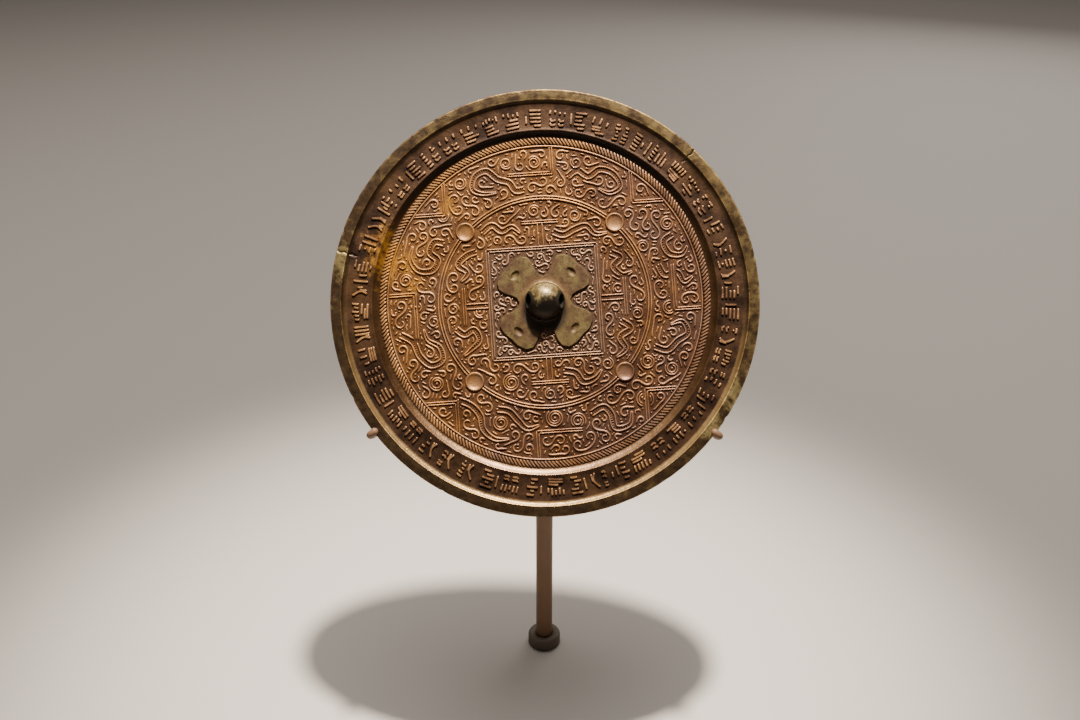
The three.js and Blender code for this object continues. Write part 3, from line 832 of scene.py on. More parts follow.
def olive_material():
    """The leaves and knob: smooth olive patina over dark bronze."""
    s = Patina("olive_bronze", blotch_mm=6, mottle_mm=1.8, speck_mm=0.7)
    colour = s.mix(s.step(s.blotch, 0.36, 0.64), srgb(80, 56, 36), srgb(106, 90, 51))
    colour = s.mix(s.step(s.mottle, 0.42, 0.72), colour, srgb(66, 48, 30))
    colour = s.mix(s.step(s.speck, 0.58, 0.7), colour, srgb(58, 42, 26))
    # A brown ring lies round the knob's base, and a painted shadow of the knob darkens the leaves just
    # below it.
    ring = s.step_mm(s.scaled(s.mottle, 3 * MM, s.radius), KNOB_RADIUS + 5.5, KNOB_RADIUS + 2.5)
    colour = s.mix_part(ring, 0.5, colour, srgb(104, 72, 42))
    lower = s.node("CombineXYZ", {0: s.x, 1: s.math("ADD", s.y, 4 * MM)}).outputs[0]
    knob_painted_shadow = s.step_mm(s.scaled(s.mottle, 2 * MM, s.length(lower)), 12.5, 9.5)
    colour = s.mix_part(knob_painted_shadow, 0.85, colour, srgb(32, 24, 17))
    # The knob is near black on its lower side and pale and mottled on its top, with a ragged edge between.
    on_knob = s.step_mm(s.radius, KNOB_RADIUS + 0.6, KNOB_RADIUS + 0.1)
    knob_top_tone = s.mix(s.step(s.mottle, 0.4, 0.6), srgb(150, 130, 84), srgb(92, 76, 44))
    upward = s.scaled(s.x, -0.2, s.y)
    edge = s.scaled(s.noise(4.5, detail=5, roughness=0.7), 16 * MM, upward)
    knob_dark_below_pale_above = s.mix(s.step_mm(edge, 7.2, 11.5), srgb(34, 27, 20), knob_top_tone)
    colour = s.mix(on_knob, colour, knob_dark_below_pale_above)
    # Painted shade: the cord hole is darkened inside and round its ends.
    above_hole = s.math("SUBTRACT", s.z, CORD_HOLE_HEIGHT * MM)
    from_cord = s.length(s.node("CombineXYZ", {0: s.y, 1: above_hole}).outputs[0])
    near_hole = s.step_mm(from_cord, CORD_HOLE_RADIUS + 1.8, CORD_HOLE_RADIUS + 0.8)
    hole_painted_shade = s.math("MULTIPLY", near_hole, on_knob)
    colour = s.mix(hole_painted_shade, colour, srgb(30, 23, 16))
    shine = s.scaled(hole_painted_shade, 0.4, s.scaled(on_knob, -0.18, 0.46))
    roughness = s.scaled(s.blotch, 0.25, shine)
    bump = s.math("ADD", s.speck, s.mottle)
    return s.finish(colour, roughness, metallic=0.55, bump=bump, bump_strength=0.45, bump_mm=0.18)


def paint_material(name, light, dark):
    """Matt paint on metal, with faint dust and unevenness."""
    s = Shader(name)
    grain = s.noise(0.6, detail=3)
    colour = s.mix_part(s.noise(14), 0.7, light, dark)
    roughness = s.scaled(grain, 0.2, 0.5)
    return s.finish(colour, roughness, metallic=0.0, bump=grain, bump_strength=0.15, bump_mm=0.06)


bronze = bronze_material()
olive = olive_material()
beige_paint = paint_material("stand_paint", srgb(124, 92, 66), srgb(94, 70, 50))
grey_paint = paint_material("collar_paint", srgb(108, 95, 80), srgb(86, 75, 64))


# ---- The cast body ----
def arc(centre, radius, start, end, count):
    """Points of an arc in a profile's plane, angles in degrees."""
    angles = np.radians(np.linspace(start, end, count))
    return [(centre[0] + radius * math.cos(a), centre[1] + radius * math.sin(a)) for a in angles]


def line_bump(radius):
    """A round-topped ridge in the profile, from its outer foot inwards."""
    half_width, foot, height = 0.42, 0.02, LINE_HEIGHT * 1.3
    angles = np.radians(np.linspace(0, 180, 9))
    return [(radius + half_width * math.cos(a), foot + height * math.sin(a)) for a in angles]


def ground_line(ground, start, end, count):
    """Points of the profile that follow a ground, from one radius to another."""
    return [(r, float(ground(r))) for r in np.linspace(start, end, count)]


def slope_line():
    """Points of the slope between the band's inner lip and the comb, steep above and flat below."""
    top, rise = BAND_INNER - 0.15, 1.55
    return [
        (top - (top - COMB_OUTER) * t, COMB_OUTER_HEIGHT + rise * (1 - t) ** 1.6)
        for t in np.linspace(0.1, 1, 8)
    ]


def body_profile():
    """The cast body's profile as radii and heights, from the back's middle to the front's."""
    plate_edge, rim_edge = RADIUS - EDGE_ROUNDING, RADIUS - RIM_ROUNDING
    rim_crest, rim_fall = 91, 0.02  # where the rim is highest, and how quickly it falls away
    back = [(r, -FACE_DEPTH - FACE_BULGE * (1 - (r / RADIUS) ** 2)) for r in np.linspace(0, plate_edge, 14)]
    rim_radii = np.linspace(RADIUS - 1.1, RIM_INNER + 0.5, 7)
    rim_top = [(r, RIM_HEIGHT - rim_fall * (r - rim_crest) ** 2) for r in rim_radii]
    return [
        *back,
        *arc((plate_edge, EDGE_ROUNDING - FACE_DEPTH), EDGE_ROUNDING, -75, 0, 4),
        *arc((rim_edge, RIM_HEIGHT - RIM_ROUNDING), RIM_ROUNDING, 0, 80, 5),
        *rim_top,
        *arc((RIM_INNER + 0.35, RIM_HEIGHT - 0.5), 0.45, 90, 140, 3),
        (RIM_INNER - 0.55, 2.5), (RIM_INNER - 1.1, 2.16), (STEP_FOOT - 0.3, 2.02),
        *ground_line(band_ground, STEP_FOOT - 1, BAND_INNER + 0.9, 11),
        (BAND_INNER + 0.45, 2.08), (BAND_INNER + 0.1, 2.1), (BAND_INNER - 0.15, 1.98),
        *slope_line(),
        *ground_line(comb_ground, COMB_OUTER - 0.7, COMB_INNER, 4),
        *line_bump(FIELD_LINE),
        *ground_line(flat_ground, FIELD_LINE - 0.8, RINGS[0] + 0.8, 21),
        *line_bump(RINGS[0]),
        *line_bump(RINGS[1]),
        *ground_line(flat_ground, RINGS[1] - 0.8, KNOB_RADIUS, 34),
        (0, 0),
    ]


# Cracks through the rim: angle in degrees, how far in they reach, and depth.
CRACKS = ((166.5, 84.5, 0.7), (45.5, 85, 0.5))
# Nicks in the rim's edge: angle in degrees, width in degrees, and depth.
NICKS = (
    (161, 0.8, 0.35), (207, 1.2, 0.3), (-33, 1.0, 0.35), (97, 0.7, 0.25), (12, 0.9, 0.3), (242, 0.6, 0.3),
)


def degrees_from(angle, middle):
    """How many degrees an angle lies past the middle, from -180 to 180."""
    return (angle - middle + 180) % 360 - 180


def body_angles(count=600):
    """Even angles all round, with close ones across each crack."""
    even = np.arange(count) * 360 / count
    close = []
    for angle, _, _ in CRACKS:
        even = even[np.abs(degrees_from(even, angle)) > 0.45]
        close += [angle + off for off in (-0.3, -0.14, 0, 0.14, 0.3)]
    return np.radians(np.sort(np.concatenate([even, np.array(close) % 360])))


def worn_edges(radii, heights):
    """How near each place is to the crest of a turned line or edge, from 0 to 1."""
    crests = (FIELD_LINE, *RINGS, RIM_INNER + 0.2, RADIUS - 0.4)
    near = [np.clip(1.3 - np.abs(radii - crest) / 0.4, 0, 1) for crest in crests]
    return np.where(heights > 0.35, np.max(near, axis=0), 0)


def uneven(x, y, z, size):
    """Smooth noise from about -1 to 1 at a point in millimetres."""
    return noise.noise(Vector((x, y, z)) / size)


def casting_wear(x, y, z, radius):
    """How far the casting's unevenness moves a place up and inwards, more on the rim and its edge."""
    up = 0.035 * uneven(x, y, 0, 6) + 0.02 * uneven(x, y, 0, 1.8)
    if radius > RIM_INNER:
        up += 0.05 * uneven(x, y, 3, 9)
    inward = 0.0
    if radius > RADIUS - 1.5:
        inward = 0.12 * abs(uneven(x, y, 0, 7)) + 0.05 * abs(uneven(x, y, z, 2))
    return up, inward


def nick_wear(degrees, z, radius):
    """How far the nicks in the rim's edge move a place up and inwards."""
    up = inward = 0.0
    for angle, width, depth in NICKS:
        near = abs(degrees_from(degrees, angle)) / width
        if near < 1 and radius > RADIUS - 1.2:
            bite = depth * (1 - near**2) ** 2
            inward += bite
            up -= 0.4 * bite * (z > 2)
    return up, inward


def crack_wear(degrees, radius):
    """How far the cracks move a place up and inwards, and the angle by which they swing it aside."""
    half_width, reach = 0.2, 1.5  # degrees: of the crack itself, and of what winds along with it
    up = inward = swing = 0.0
    for angle, inner, depth in CRACKS:
        off = degrees_from(degrees, angle)
        if abs(off) < half_width and radius > inner:
            near = 1 - abs(off) / half_width
            up -= depth * min(1, (radius - inner) / 1.5) * near
            inward += 0.25 * (radius > RADIUS - 1) * near
        if abs(off) < reach and radius > inner - 3:
            swing = math.radians(0.22) * math.sin(1.9 * radius + angle) * (1 - abs(off) / reach)
    return up, inward, swing


def make_body():
    """The cast body, turned and then worn. Its back and what the knob covers stay even."""
    back_top, covered_radius, under_boss = -1.5, 9, -0.3
    verts, faces = lathe(body_profile(), body_angles())
    radii = np.hypot(verts[:, 0], verts[:, 1])
    lift = worn_edges(radii, verts[:, 2])
    degrees = np.degrees(np.arctan2(verts[:, 1], verts[:, 0]))
    for i, (x, y, z) in enumerate(verts):
        radius = radii[i]
        if z < back_top or radius < covered_radius:
            continue
        if any(math.hypot(x - cx, y - cy) < BOSS_RADIUS for cx, cy in boss_centres):
            verts[i, 2] = under_boss
            continue
        casting_up, casting_inward = casting_wear(x, y, z, radius)
        nick_up, nick_inward = nick_wear(degrees[i], z, radius)
        crack_up, crack_inward, swing = crack_wear(degrees[i], radius)
        scale = (radius - casting_inward - nick_inward - crack_inward) / radius
        verts[i, :2] = np.array(turned((x, y), swing)) * scale
        if z > -0.5:
            verts[i, 2] = z + casting_up + nick_up + crack_up
    add_piece("mirror_body", verts, faces, bronze, "mirror", "bronze", MIRROR_MATRIX, lift)


make_body()

# ---- Pattern lines, bosses, comb band and inscription ----
LINE_HALF_WIDTH = 0.33
lines = Relief()
for start, end in pattern_lines:
    points = along_line(start, end)
    wobble = [0.06 * uneven(x, y, 9, 3) for x, y in points]
    lines.ridge(points + np.array(wobble)[:, None], LINE_HALF_WIDTH, LINE_HEIGHT * 1.15, taper=0.25)
lines.piece("mirror_pattern_lines", bronze)

BOSS_LIFT = 0.45  # bosses get neither the crests' rubbing and painted highlight nor the ground's dirt and painted shade


def make_bosses():
    """The four dished bosses, each a rounded rim round a dish."""
    # The rim's points as distance inside the boss's radius and height, the dish's as radius and height.
    rim = [
        (-0.1, PLATE_FOOT), (-0.1, 0), (0.05, 0.35), (0.2, 0.7), (0.4, 0.84), (0.65, 0.8), (0.9, 0.62),
    ]
    dish = [(2.9, 0.32), (2.2, 0.14), (1.3, 0.02), (0.6, -0.03), (0, -0.05)]
    profile = [(0, PLATE_FOOT), *((BOSS_RADIUS - inward, z) for inward, z in rim), *dish]
    one, one_faces = lathe(profile, even_angles(56))
    verts, faces = [], []
    for number, (cx, cy) in enumerate(boss_centres):
        verts.append(one + np.array([cx, cy, 0]))
        faces += [tuple(i + number * len(one) for i in face) for face in one_faces]
    verts = np.concatenate(verts)
    lift = np.full(len(verts), BOSS_LIFT)
    add_piece("mirror_bosses", verts, faces, bronze, "mirror", "bronze", MIRROR_MATRIX, lift)


make_bosses()

COMB_STROKES = 280
COMB_LEAN = 3.0  # how far a stroke's outer end lies anticlockwise of its inner end
COMB_HALF_WIDTH, COMB_HEIGHT = 0.43, 0.5
comb = Relief()
for number in range(COMB_STROKES):
    inner_angle = TAU * number / COMB_STROKES + rng.uniform(-1, 1) * 0.001
    outer_angle = inner_angle + COMB_LEAN / COMB_OUTER
    inner_end = turned((COMB_INNER, 0), inner_angle)
    outer_end = turned((COMB_OUTER + 0.1, 0), outer_angle)
    height = COMB_HEIGHT * rng.uniform(0.85, 1.1)
    stroke = along_line(inner_end, outer_end, step=0.7)
    comb.ridge(stroke, COMB_HALF_WIDTH, height, comb_ground, taper=0.3, section=FLAT_SECTION)
comb.piece("mirror_comb_band", bronze)

SIGNS = 52
SIGN_RADII = (77.3, 84.4)
SIGN_WIDTH = 7.4
SIGN_HALF_WIDTH, SIGN_HEIGHT = 0.52, 0.68  # of a stroke
SIGN_STEP = 0.09  # between a stroke's points, as a share of the sign's half size


def bars_across(left, right, low, high, count):
    """Bars one above the other, of uneven length and with a slight lean."""
    lean = rng.uniform(-0.07, 0.07)
    width = right - left
    bars = []
    for i in range(count):
        up = low + (high - low) * (i / (count - 1) if count > 1 else 0.5)
        short, late = rng.choice((0, 0, 0.3)), rng.choice((0, 0, 0, 0.3))
        bars.append([(left + late * width, up - lean), (right - short * width, up + lean)])
    return bars


def bars_upright(left, right, low, high, count):
    """Bars side by side, of uneven height and with a slight lean."""
    return [[(y, x) for x, y in bar] for bar in bars_across(low, high, left, right, count)]


def wave(left, right, low, high):
    """One upright stroke that swings from side to side."""
    middle, swing = (left + right) / 2, (right - left) * 0.38
    return [[(middle + swing * math.sin(4 * t), low + (high - low) * t) for t in np.linspace(0, 1, 9)]]


def hooks(left, right, low, high):
    """Two bent strokes that open the same way."""
    rise, bend = 0.16 * (high - low), left + 0.3 * (right - left)
    strokes = []
    for up in (low + 0.22 * (high - low), low + 0.72 * (high - low)):
        strokes.append([(left, up + rise), (bend, up - rise), (right, up - 0.3 * rise)])
    return strokes


# Made-up signs, each as strokes in a box from -1 to 1 both ways. They spell nothing.
SIGN_GAP = 0.17


def sign_columns():
    """Two halves side by side, each of bars, a wave or hooks."""
    middle = rng.uniform(-0.25, 0.2)
    strokes = []
    for left, right in ((-1, middle - SIGN_GAP), (middle + SIGN_GAP, 1)):
        kind = rng.choice(("across", "across", "upright", "wave", "hooks"))
        if kind == "across":
            strokes += bars_across(left, right, -0.92, 0.92, rng.choice((4, 5, 5)))
        elif kind == "upright":
            strokes += bars_upright(left, right, -0.95, 0.95, 3 if right - left > 0.9 else 2)
        elif kind == "wave":
            strokes += wave(left, right, -0.95, 0.95)
            strokes += bars_upright(right, right, -0.9, 0.1, 1)
        else:
            strokes += hooks(left, right, -0.9, 0.2)
            strokes += bars_across(left, right, 0.6, 0.95, 2)
    return strokes


def sign_rows():
    """Upright bars above, and bars across or hooks below."""
    middle = rng.uniform(-0.2, 0.25)
    top = middle - SIGN_GAP
    strokes = bars_upright(-0.9, 0.9, middle + SIGN_GAP, 1, rng.choice((3, 4, 5)))
    if rng.choice(("bars", "bars", "hooks")) == "bars":
        return strokes + bars_across(-0.95, 0.95, -0.95, top, 3)
    return strokes + hooks(-0.95, -0.1, -1, top) + hooks(0.15, 0.95, -1, top)


def sign_tower():
    """A stack of bars across, beside one upright bar."""
    return bars_across(-0.55, 0.95, -0.95, 0.95, 5) + bars_upright(-0.95, -0.95, -0.7, 0.8, 1)


def stroke_points(stroke):
    """Closely spaced points of a stroke: a curve through many corners, or straight between few."""
    if len(stroke) > 3:
        return smooth_path(stroke, SIGN_STEP)
    dense = np.concatenate([along_line(a, b, SIGN_STEP) for a, b in zip(stroke, stroke[1:])])
    moves = np.linalg.norm(np.diff(dense, axis=0), axis=1)
    return dense[np.concatenate([[True], moves > 1e-6])]


inscription = Relief()
sign_middle = sum(SIGN_RADII) / 2
sign_half_height = (SIGN_RADII[1] - SIGN_RADII[0]) / 2
for number in range(SIGNS):
    middle = TAU * (number + 0.5) / SIGNS + rng.uniform(-1, 1) * 0.005
    half_angle = SIGN_WIDTH * rng.uniform(0.86, 1.03) / 2 / sign_middle
    make_sign = rng.choice((sign_columns, sign_columns, sign_rows, sign_rows, sign_tower))
    for stroke in make_sign():
        points = [
            turned((sign_middle + up * sign_half_height, 0), middle - across * half_angle)
            for across, up in stroke_points(stroke)
        ]
        height = SIGN_HEIGHT * rng.uniform(0.85, 1.05)
        inscription.ridge(points, SIGN_HALF_WIDTH, height, band_ground, taper=0.3, section=FLAT_SECTION)
inscription.piece("mirror_inscription", bronze)

# ---- Scrollwork ----
# Spines of the winding animals, as points on the mirror from head to tail.
OUTER_BEASTS = (
    (
        (-9, 49.5), (-13, 49), (-16, 52.5), (-21, 54), (-26, 57.5), (-31, 55), (-32, 49.5), (-27.5, 47.5),
        (-21, 48),
    ),
    (
        (-44, 25.5), (-48.5, 26), (-50.5, 21.5), (-47, 18), (-49.5, 13.5), (-55.5, 13.5), (-59, 18.5),
        (-58, 24.5),
    ),
    (
        (-63.5, -14.5), (-57.5, -18), (-54.5, -24), (-49.5, -28), (-44.5, -25.5), (-46, -20), (-51, -17),
        (-53, -12),
    ),
    ((-38, -43), (-32, -45.5), (-28, -50), (-26.5, -56), (-21.5, -60), (-15, -60)),
    ((-21, -47), (-15.5, -48), (-11.5, -52), (-7.5, -55.5), (-2, -54)),
    ((20, -49), (25.5, -46), (29, -49), (31, -55), (37, -53.5), (38, -47.5)),
    ((47.5, -19.5), (53.5, -21), (58, -17), (62.5, -13.5), (60, -8.5), (54.5, -10)),
    ((9.5, 55), (14, 58), (19, 55.5), (24, 58.5), (30, 56.5), (33, 51), (28.5, 48), (23, 50)),
    ((56, 30), (52, 26.5), (54.5, 21.5), (60, 21), (62.5, 25)),
    ((49.5, 16.5), (52.5, 12), (58, 13), (61, 9), (65, 11.5)),
)
# Coils round dots: the places of their centres, and their radius.
OUTER_ROSETTES = (
    (-5, 61.5, 2.9), (-17.5, 61, 2.6), (-37.5, 52, 2.8), (4.5, -50.8, 3.9), (14.5, -52, 3.6),
    (-19, -53, 3.4), (13.5, 61.5, 2.5), (54.5, -2.5, 3.2), (55.5, -29, 3.1), (53.5, 34.5, 3.1),
    (-48.5, -9, 2.8), (45, -26, 3.2), (43.5, -42.5, 4.2), (-61, 9, 2.8), (-45, 37.5, 2.8),
    (-47, -36, 3.4), (43, 24.5, 2.8), (-56.5, -2.5, 2.6),
)
INNER_BEASTS = (
    ((3, 31), (8, 29.5), (13, 32), (18, 33.5), (22, 30), (27.5, 30.5)),
    ((-28, 30), (-23.5, 33.5), (-19, 31), (-14.5, 33), (-10.5, 30)),
    ((-39, -12), (-35, -14.5), (-31, -12.5), (-28.5, -17), (-32, -21), (-35.5, -24)),
    ((8, -30), (13.5, -31), (17, -35), (22, -33.5), (25, -29.5)),
    ((28.5, 22), (33, 19.5), (30, 15.5), (34, 12), (38.5, 13.5)),
    ((33, -8), (37.5, -11.5), (33, -15.5), (35.5, -20.5), (31, -24.5)),
    ((-30, 22), (-34.5, 20), (-38, 16), (-34, 12.5), (-37, 8.5)),
)
INNER_ROSETTES = (
    (-14.5, -35.5, 3.8), (2.5, -40.3, 2.5), (-5, 40, 2.6), (-28.5, -4.5, 2.7), (32, 6, 2.6),
    (-3, 30, 2.4), (40.5, -5, 2.6), (-40, -3.5, 2.5), (13, 38, 2.6), (-21, 26.8, 1.9), (27.5, -27, 2.6),
)
# Coils from large to small: widest and tightest radius, turn in radians, and longest middle stretch.
SCROLL_SIZES = ((3.0, 1.2, 4.4, 9), (2.3, 1.05, 4.2, 7), (1.7, 0.9, 3.8, 6), (1.3, 0.8, 3.0, 5))
FINE_SCROLL_SIZES = ((1.5, 0.75, 4.0, 4), (1.1, 0.65, 3.2, 3))


def fill_zone(name, zone, beasts, rosettes, sizes, clear):
    """Fills a zone with relief, from its largest motifs to its smallest."""
    relief = Relief()
    for x, y, outer in rosettes:
        add_rosette(layout, zone, relief, x, y, outer)
    for spine in beasts:
        add_beast(layout, zone, relief, spine)
    for size in sizes:
        place_scrolls(layout, zone, relief, size, clear)
    fill_between(layout, zone, relief)
    add_grains(layout, zone, relief)
    relief.piece(name, bronze)


fill_zone("mirror_outer_scrolls", outer_zone, OUTER_BEASTS, OUTER_ROSETTES, SCROLL_SIZES, 1.38)
fill_zone("mirror_inner_scrolls", inner_zone, INNER_BEASTS, INNER_ROSETTES, SCROLL_SIZES, 1.38)
fill_zone("mirror_middle_scrolls", middle_zone, (), (), FINE_SCROLL_SIZES, 1.1)


# ---- Leaves and knob, melted together ----
def leaf_plate():
    """A closed plate in the leaves' outline."""
    low = [(x, y, PLATE_FOOT) for x, y in leaf_outline]
    high = [(x, y, LEAF_HEIGHT) for x, y in leaf_outline]
    lid = tuple(range(LEAF_POINTS, 2 * LEAF_POINTS))
    floor = tuple(range(LEAF_POINTS - 1, -1, -1))
    return np.array(low + high), [*ring_faces(0, LEAF_POINTS), floor, lid]


def solid_object(name, verts, faces):
    """A helper object in millimetres, which melt_together uses up."""
    mesh = bpy.data.meshes.new(name)
    mesh.from_pydata(np.asarray(verts).tolist(), [], faces)
    made = bpy.data.objects.new(name, mesh)
    bpy.context.scene.collection.objects.link(made)
    return made


def melt_together(base, added, cutter, voxel_size, smoothings):
    """Vertices and faces of base joined to what cutter leaves of added, with soft seams.

    The three helper objects are removed.
    """
    cut = added.modifiers.new("cut", "BOOLEAN")
    cut.operation, cut.object, cut.solver = "DIFFERENCE", cutter, "EXACT"
    join = base.modifiers.new("join", "BOOLEAN")
    join.operation, join.object, join.solver = "UNION", added, "EXACT"
    melt = base.modifiers.new("melt", "REMESH")
    melt.mode, melt.voxel_size = "VOXEL", voxel_size
    soften = base.modifiers.new("soften", "SMOOTH")
    soften.factor, soften.iterations = 0.5, smoothings
    graph = bpy.context.evaluated_depsgraph_get()
    mesh = bpy.data.meshes.new_from_object(base.evaluated_get(graph))
    for used in (base, added, cutter):
        bpy.data.objects.remove(used)
    return np.array([v.co for v in mesh.vertices], float), [tuple(p.vertices) for p in mesh.polygons]


def knob_solid():
    """The knob as a dome on a straight root that ends inside the casting."""
    dome_height = KNOB_HEIGHT - KNOB_BASE
    dome = [
        (KNOB_RADIUS * math.cos(a), KNOB_BASE + dome_height * math.sin(a))
        for a in np.radians(np.linspace(0, 84, 15))
    ]
    profile = [(0, PLATE_FOOT), (KNOB_RADIUS, PLATE_FOOT), *dome, (0, KNOB_HEIGHT)]
    return solid_object("knob", *lathe(profile, even_angles(96)))


def cord_hole_solid():
    """A round bar across the knob, to cut its cord hole with."""
    half = 15
    profile = [(0, -half), (CORD_HOLE_RADIUS, -half), (CORD_HOLE_RADIUS, half), (0, half)]
    hole = solid_object("hole", *lathe(profile, even_angles(48)))
    hole.data.transform(Matrix.Translation((0, 0, CORD_HOLE_HEIGHT)) @ Matrix.Rotation(TAU / 4, 4, "Y"))
    return hole


def hollow_depth(x, y):
    """How deep a leaf's hollow is at a point on the mirror."""
    for quarter in QUARTERS:
        out, aside = turned((x, y), -(quarter + TAU / 8 + ORNAMENT_TURN))
        away = math.hypot((out - HOLLOW_DISTANCE) / HOLLOW_HALF_SIZES[0], aside / HOLLOW_HALF_SIZES[1])
        if away < 1:
            return HOLLOW_DEPTH * (1 - away**2) ** 0.6
    return 0.0


def make_knob_and_leaves():
    """The knob and leaves as one, with a fillet between them and a hollow in each leaf."""
    voxel_size, smoothings, leaf_side_top = 0.2, 4, 0.3
    plate = solid_object("plate", *leaf_plate())
    verts, faces = melt_together(plate, knob_solid(), cord_hole_solid(), voxel_size, smoothings)
    for i, (x, y, z) in enumerate(verts):
        if z < leaf_side_top:
            continue
        beyond = (math.hypot(x, y) - KNOB_RADIUS + 0.3) / KNOB_FLARE_WIDTH
        if beyond < 0:
            verts[i, 2] += 0.04 * uneven(x, y, z, 3)
        else:
            flare = KNOB_FLARE_HEIGHT * max(0, 1 - beyond) ** 2
            verts[i, 2] += 0.05 * uneven(x, y, 0, 4) + flare - hollow_depth(x, y)
    add_piece("mirror_knob_and_leaves", verts, faces, olive, "mirror", "bronze", MIRROR_MATRIX)


make_knob_and_leaves()

# ---- Stand ----
def turned_ring(profile, around):
    """Vertices and faces of a ring, turned from a closed profile that stays off the axis."""
    count = len(profile)
    verts = [(r * math.cos(a), r * math.sin(a), z) for a in even_angles(around) for r, z in profile]
    faces = []
    for i in range(around):
        here, there = i * count, (i + 1) % around * count
        for j in range(count):
            k = (j + 1) % count
            faces.append((here + j, there + j, there + k, here + k))
    return verts, faces


def tube(points, radii, around=40):
    """Vertices and faces of a closed round bar along a path, with its own radius at each point."""
    points = np.asarray(points, float)
    ways = np.gradient(points, axis=0)
    ways /= np.linalg.norm(ways, axis=1)[:, None]
    side = np.cross(ways[0], (0, 0, 1))
    verts = []
    for point, way, radius in zip(points, ways, radii):
        side = side - way * side.dot(way)
        side /= np.linalg.norm(side)
        other = np.cross(way, side)
        for angle in even_angles(around):
            verts.append(point + radius * (math.cos(angle) * side + math.sin(angle) * other))
    faces = []
    for row in range(len(points) - 1):
        faces += ring_faces(row * around, around)
    faces.append(tuple(range(around - 1, -1, -1)))
    faces.append(tuple(range(len(verts) - around, len(verts))))
    return verts, faces


def spaced(start, end, step=2.0):
    """Points along a straight stretch, without its end."""
    return list(np.linspace(start, end, max(2, round(math.dist(start, end) / step)), endpoint=False))


def bent(start, corner, end, count=12):
    """Points along a smooth bend round a corner, without its end."""
    start, corner, end = (np.asarray(p, float) for p in (start, corner, end))
    return [
        (1 - t) ** 2 * start + 2 * t * (1 - t) * corner + t**2 * end
        for t in np.linspace(0, 1, count, endpoint=False)
    ]


def round_ended(points, radii, bevel=0.5):
    """Adds a small bevel at the start of a bar and a half-round at its end."""
    start_way = (points[1] - points[0]) / np.linalg.norm(points[1] - points[0])
    end_way = (points[-1] - points[-2]) / np.linalg.norm(points[-1] - points[-2])
    foot = [(points[0], radii[0] - bevel), (points[0] + start_way * bevel * 0.4, radii[0] - bevel * 0.4)]
    middle = [(points[0] + start_way * bevel, radii[0]), *zip(points[1:], radii[1:])]
    tip = [
        (points[-1] + end_way * radii[-1] * math.sin(a), radii[-1] * math.cos(a))
        for a in np.radians(range(12, 90, 12))
    ]
    whole = foot + middle + tip
    return [point for point, _ in whole], [radius for _, radius in whole]


def make_lower_arm(name, side):
    """A lower arm, from the hub's edge to its prong, which bends forward and in over the rim."""
    outward = np.array([side * math.cos(PRONG_BELOW_LEVEL), -math.sin(PRONG_BELOW_LEVEL), 0])
    prong_distance = RADIUS + GAP + PRONG_RADIUS
    hub_centre = np.array([0, HUB_ABOVE_CENTRE, ARM_DEPTH])
    along = outward * prong_distance + (0, 0, ARM_DEPTH) - hub_centre
    reach = np.linalg.norm(along)
    along /= reach

    def over_rim(inward, height):
        return outward * (prong_distance - inward) + (0, 0, height)

    arm_start = hub_centre + along * (HUB_RADIUS + GAP)
    bend_start = hub_centre + along * (reach - PRONG_BEND)
    bend_end = over_rim(0, ARM_DEPTH + PRONG_BEND)
    lip_start = over_rim(0, LIP_HEIGHT - LIP_BEND)
    lip_end = over_rim(LIP_BEND, LIP_HEIGHT)
    points = [
        *spaced(arm_start, bend_start), *bent(bend_start, over_rim(0, ARM_DEPTH), bend_end),
        *spaced(bend_end, lip_start, 0.8), *bent(lip_start, over_rim(0, LIP_HEIGHT), lip_end),
        lip_end, over_rim(LIP_REACH, LIP_HEIGHT),
    ]
    # The arm narrows to the prong's radius just before the bend.
    before_bend = np.array([np.linalg.norm(p - bend_start) * (p[2] <= ARM_DEPTH + 0.01) for p in points])
    share = np.clip(before_bend / PRONG_TAPER, 0, 1)
    radii = list(PRONG_RADIUS + (ARM_RADIUS - PRONG_RADIUS) * share * share * (3 - 2 * share))
    verts, faces = tube(*round_ended(points, radii))
    add_piece(name, verts, faces, beige_paint, f"cradle_{name}", "stand_paint", MIRROR_MATRIX)


def make_top_arm():
    """The straight upper arm, which the mirror's back leans on."""
    start = np.array([0, HUB_ABOVE_CENTRE + HUB_RADIUS + GAP, ARM_DEPTH])
    end = np.array([0, TOP_ARM_END, ARM_DEPTH])
    points = [*spaced(start, end), end]
    verts, faces = tube(*round_ended(points, [ARM_RADIUS] * len(points)))
    add_piece("arm_top", verts, faces, beige_paint, "cradle_arm_top", "stand_paint", MIRROR_MATRIX)


def bevelled(radius, low, high, bevel):
    """The profile of a round bar or disc with rounded edges."""
    lower = arc((radius - bevel, low + bevel), bevel, -90, 0, 5)
    upper = arc((radius - bevel, high - bevel), bevel, 0, 90, 5)
    return [(0, low), *lower, *upper, (0, high)]


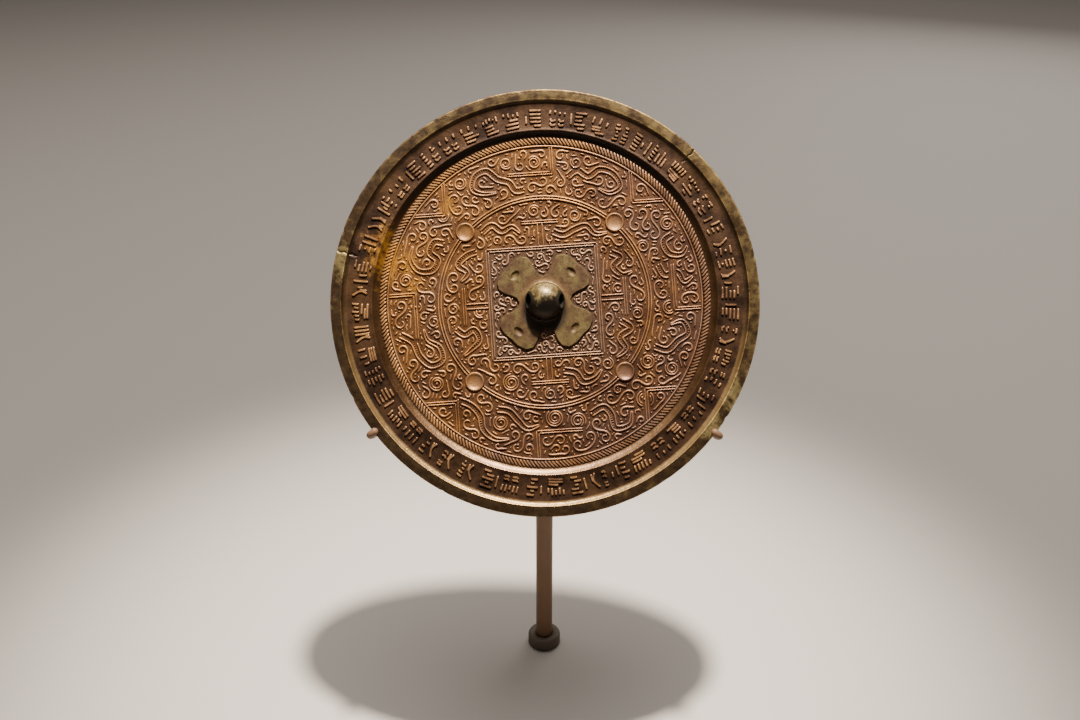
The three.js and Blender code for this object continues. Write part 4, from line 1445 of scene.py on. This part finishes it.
def make_hub():
    """The disc behind the mirror, with its upright neck melted on as a weld would be."""
    voxel_size, smoothings = 0.35, 5
    hub_back = HUB_FRONT - HUB_THICKNESS
    hub = solid_object("hub", *lathe(bevelled(HUB_RADIUS, hub_back, HUB_FRONT, bevel=0.8), even_angles(96)))
    hub.data.transform(Matrix.Translation((0, HUB_ABOVE_CENTRE, 0)))
    neck_foot = ROD_HEIGHT + GAP
    neck_profile = bevelled(ROD_RADIUS, neck_foot, neck_foot + NECK_LENGTH, bevel=0.4)
    neck = solid_object("neck", *lathe(neck_profile, even_angles(64)))
    to_mirror = Matrix.Rotation(math.radians(MIRROR_LEAN - 90), 4, "X")
    neck.data.transform(to_mirror @ Matrix.Translation(-Vector(MIRROR_CENTRE)))
    # The neck ends a little inside the hub: a block cuts off the rest of it.
    block_size = 60
    block_profile = [(0, 0), (block_size, 0), (block_size, block_size), (0, block_size)]
    past_hub = solid_object("past_hub", *lathe(block_profile, even_angles(4)))
    past_hub.data.transform(Matrix.Translation((0, 0, hub_back + NECK_SINK)))
    verts, faces = melt_together(hub, neck, past_hub, voxel_size, smoothings)
    add_piece("hub", verts, faces, beige_paint, "cradle_hub", "stand_paint", MIRROR_MATRIX)


def make_rod():
    verts, faces = lathe(bevelled(ROD_RADIUS, 0, ROD_HEIGHT, bevel=0.35), even_angles(72))
    add_piece("rod", verts, faces, beige_paint, "stand_rod", "stand_paint")


def make_collar():
    """The collar round the rod's foot, rounded outside and bevelled round its bore."""
    bore, foot_bevel, bore_bevel = ROD_RADIUS + GAP, 0.2, 0.3
    rounding_centre = (COLLAR_RADIUS - COLLAR_ROUNDING, COLLAR_HEIGHT - COLLAR_ROUNDING)
    profile = [
        (bore, 0), (COLLAR_RADIUS - foot_bevel, 0), (COLLAR_RADIUS, foot_bevel),
        *arc(rounding_centre, COLLAR_ROUNDING, 0, 90, 9),
        (bore + bore_bevel, COLLAR_HEIGHT), (bore, COLLAR_HEIGHT - bore_bevel),
    ]
    add_piece("collar", *turned_ring(profile, 96), grey_paint, "stand_collar", "collar_paint")


make_lower_arm("arm_left", -1)
make_lower_arm("arm_right", 1)
make_top_arm()
make_hub()
make_rod()
make_collar()


# ---- Floor, world and lights ----
def plain_material(name, colour, roughness):
    material = bpy.data.materials.new(name)
    material.use_nodes = True
    surface = material.node_tree.nodes["Principled BSDF"]
    surface.inputs["Base Color"].default_value = colour
    surface.inputs["Roughness"].default_value = roughness
    return material


FLOOR_HALF = 6.0
floor_mesh = bpy.data.meshes.new("floor")
corners = [(-1, -1), (1, -1), (1, 1), (-1, 1)]
floor_mesh.from_pydata([(FLOOR_HALF * x, FLOOR_HALF * y, 0) for x, y in corners], [], [(0, 1, 2, 3)])
floor_mesh.materials.append(plain_material("floor", srgb(198, 191, 184), 0.7))
floor = bpy.data.objects.new("floor", floor_mesh)
bpy.context.scene.collection.objects.link(floor)

WORLD_STRENGTH = 0.06
world = bpy.data.worlds.new("world")
world.use_nodes = True
sky = world.node_tree.nodes["Background"]
sky.inputs["Color"].default_value = srgb(226, 220, 214)
sky.inputs["Strength"].default_value = WORLD_STRENGTH
bpy.context.scene.world = world

# Lamps: name, kind, place, target, how wide they are in metres, watts and colour.
middle_of_mirror = Vector(MIRROR_CENTRE) * MM
LAMPS = (
    ("key", "SPOT", (0.12, -0.065, 1.46), middle_of_mirror, 0.1, 245, (1, 0.91, 0.79)),
    ("overhead", "AREA", (0, 0.2, 2.2), (0, 0, 0), 2.0, 36, (1, 0.93, 0.85)),
    ("fill", "AREA", (-0.9, -1.3, 0.9), middle_of_mirror, 1.2, 1.0, (1, 0.96, 0.92)),
    ("rear", "AREA", (0.8, 1.5, 0.9), middle_of_mirror, 1.2, 6, (1, 0.96, 0.92)),
)
SPOT_ANGLE = 26


def add_lamp(name, kind, place, target, width, watts, colour):
    """A round lamp turned to its target. The spot's edge fades softly."""
    data = bpy.data.lights.new(name, kind)
    data.energy = watts
    data.color = colour
    if kind == "SPOT":
        data.spot_size = math.radians(SPOT_ANGLE)
        data.spot_blend = 1
        data.shadow_soft_size = width / 2
    else:
        data.shape = "DISK"
        data.size = width
    lamp = bpy.data.objects.new(name, data)
    lamp.location = place
    lamp.rotation_euler = (Vector(target) - Vector(place)).to_track_quat("-Z", "Y").to_euler()
    bpy.context.scene.collection.objects.link(lamp)


for lamp in LAMPS:
    add_lamp(*lamp)

bpy.context.view_layer.update()
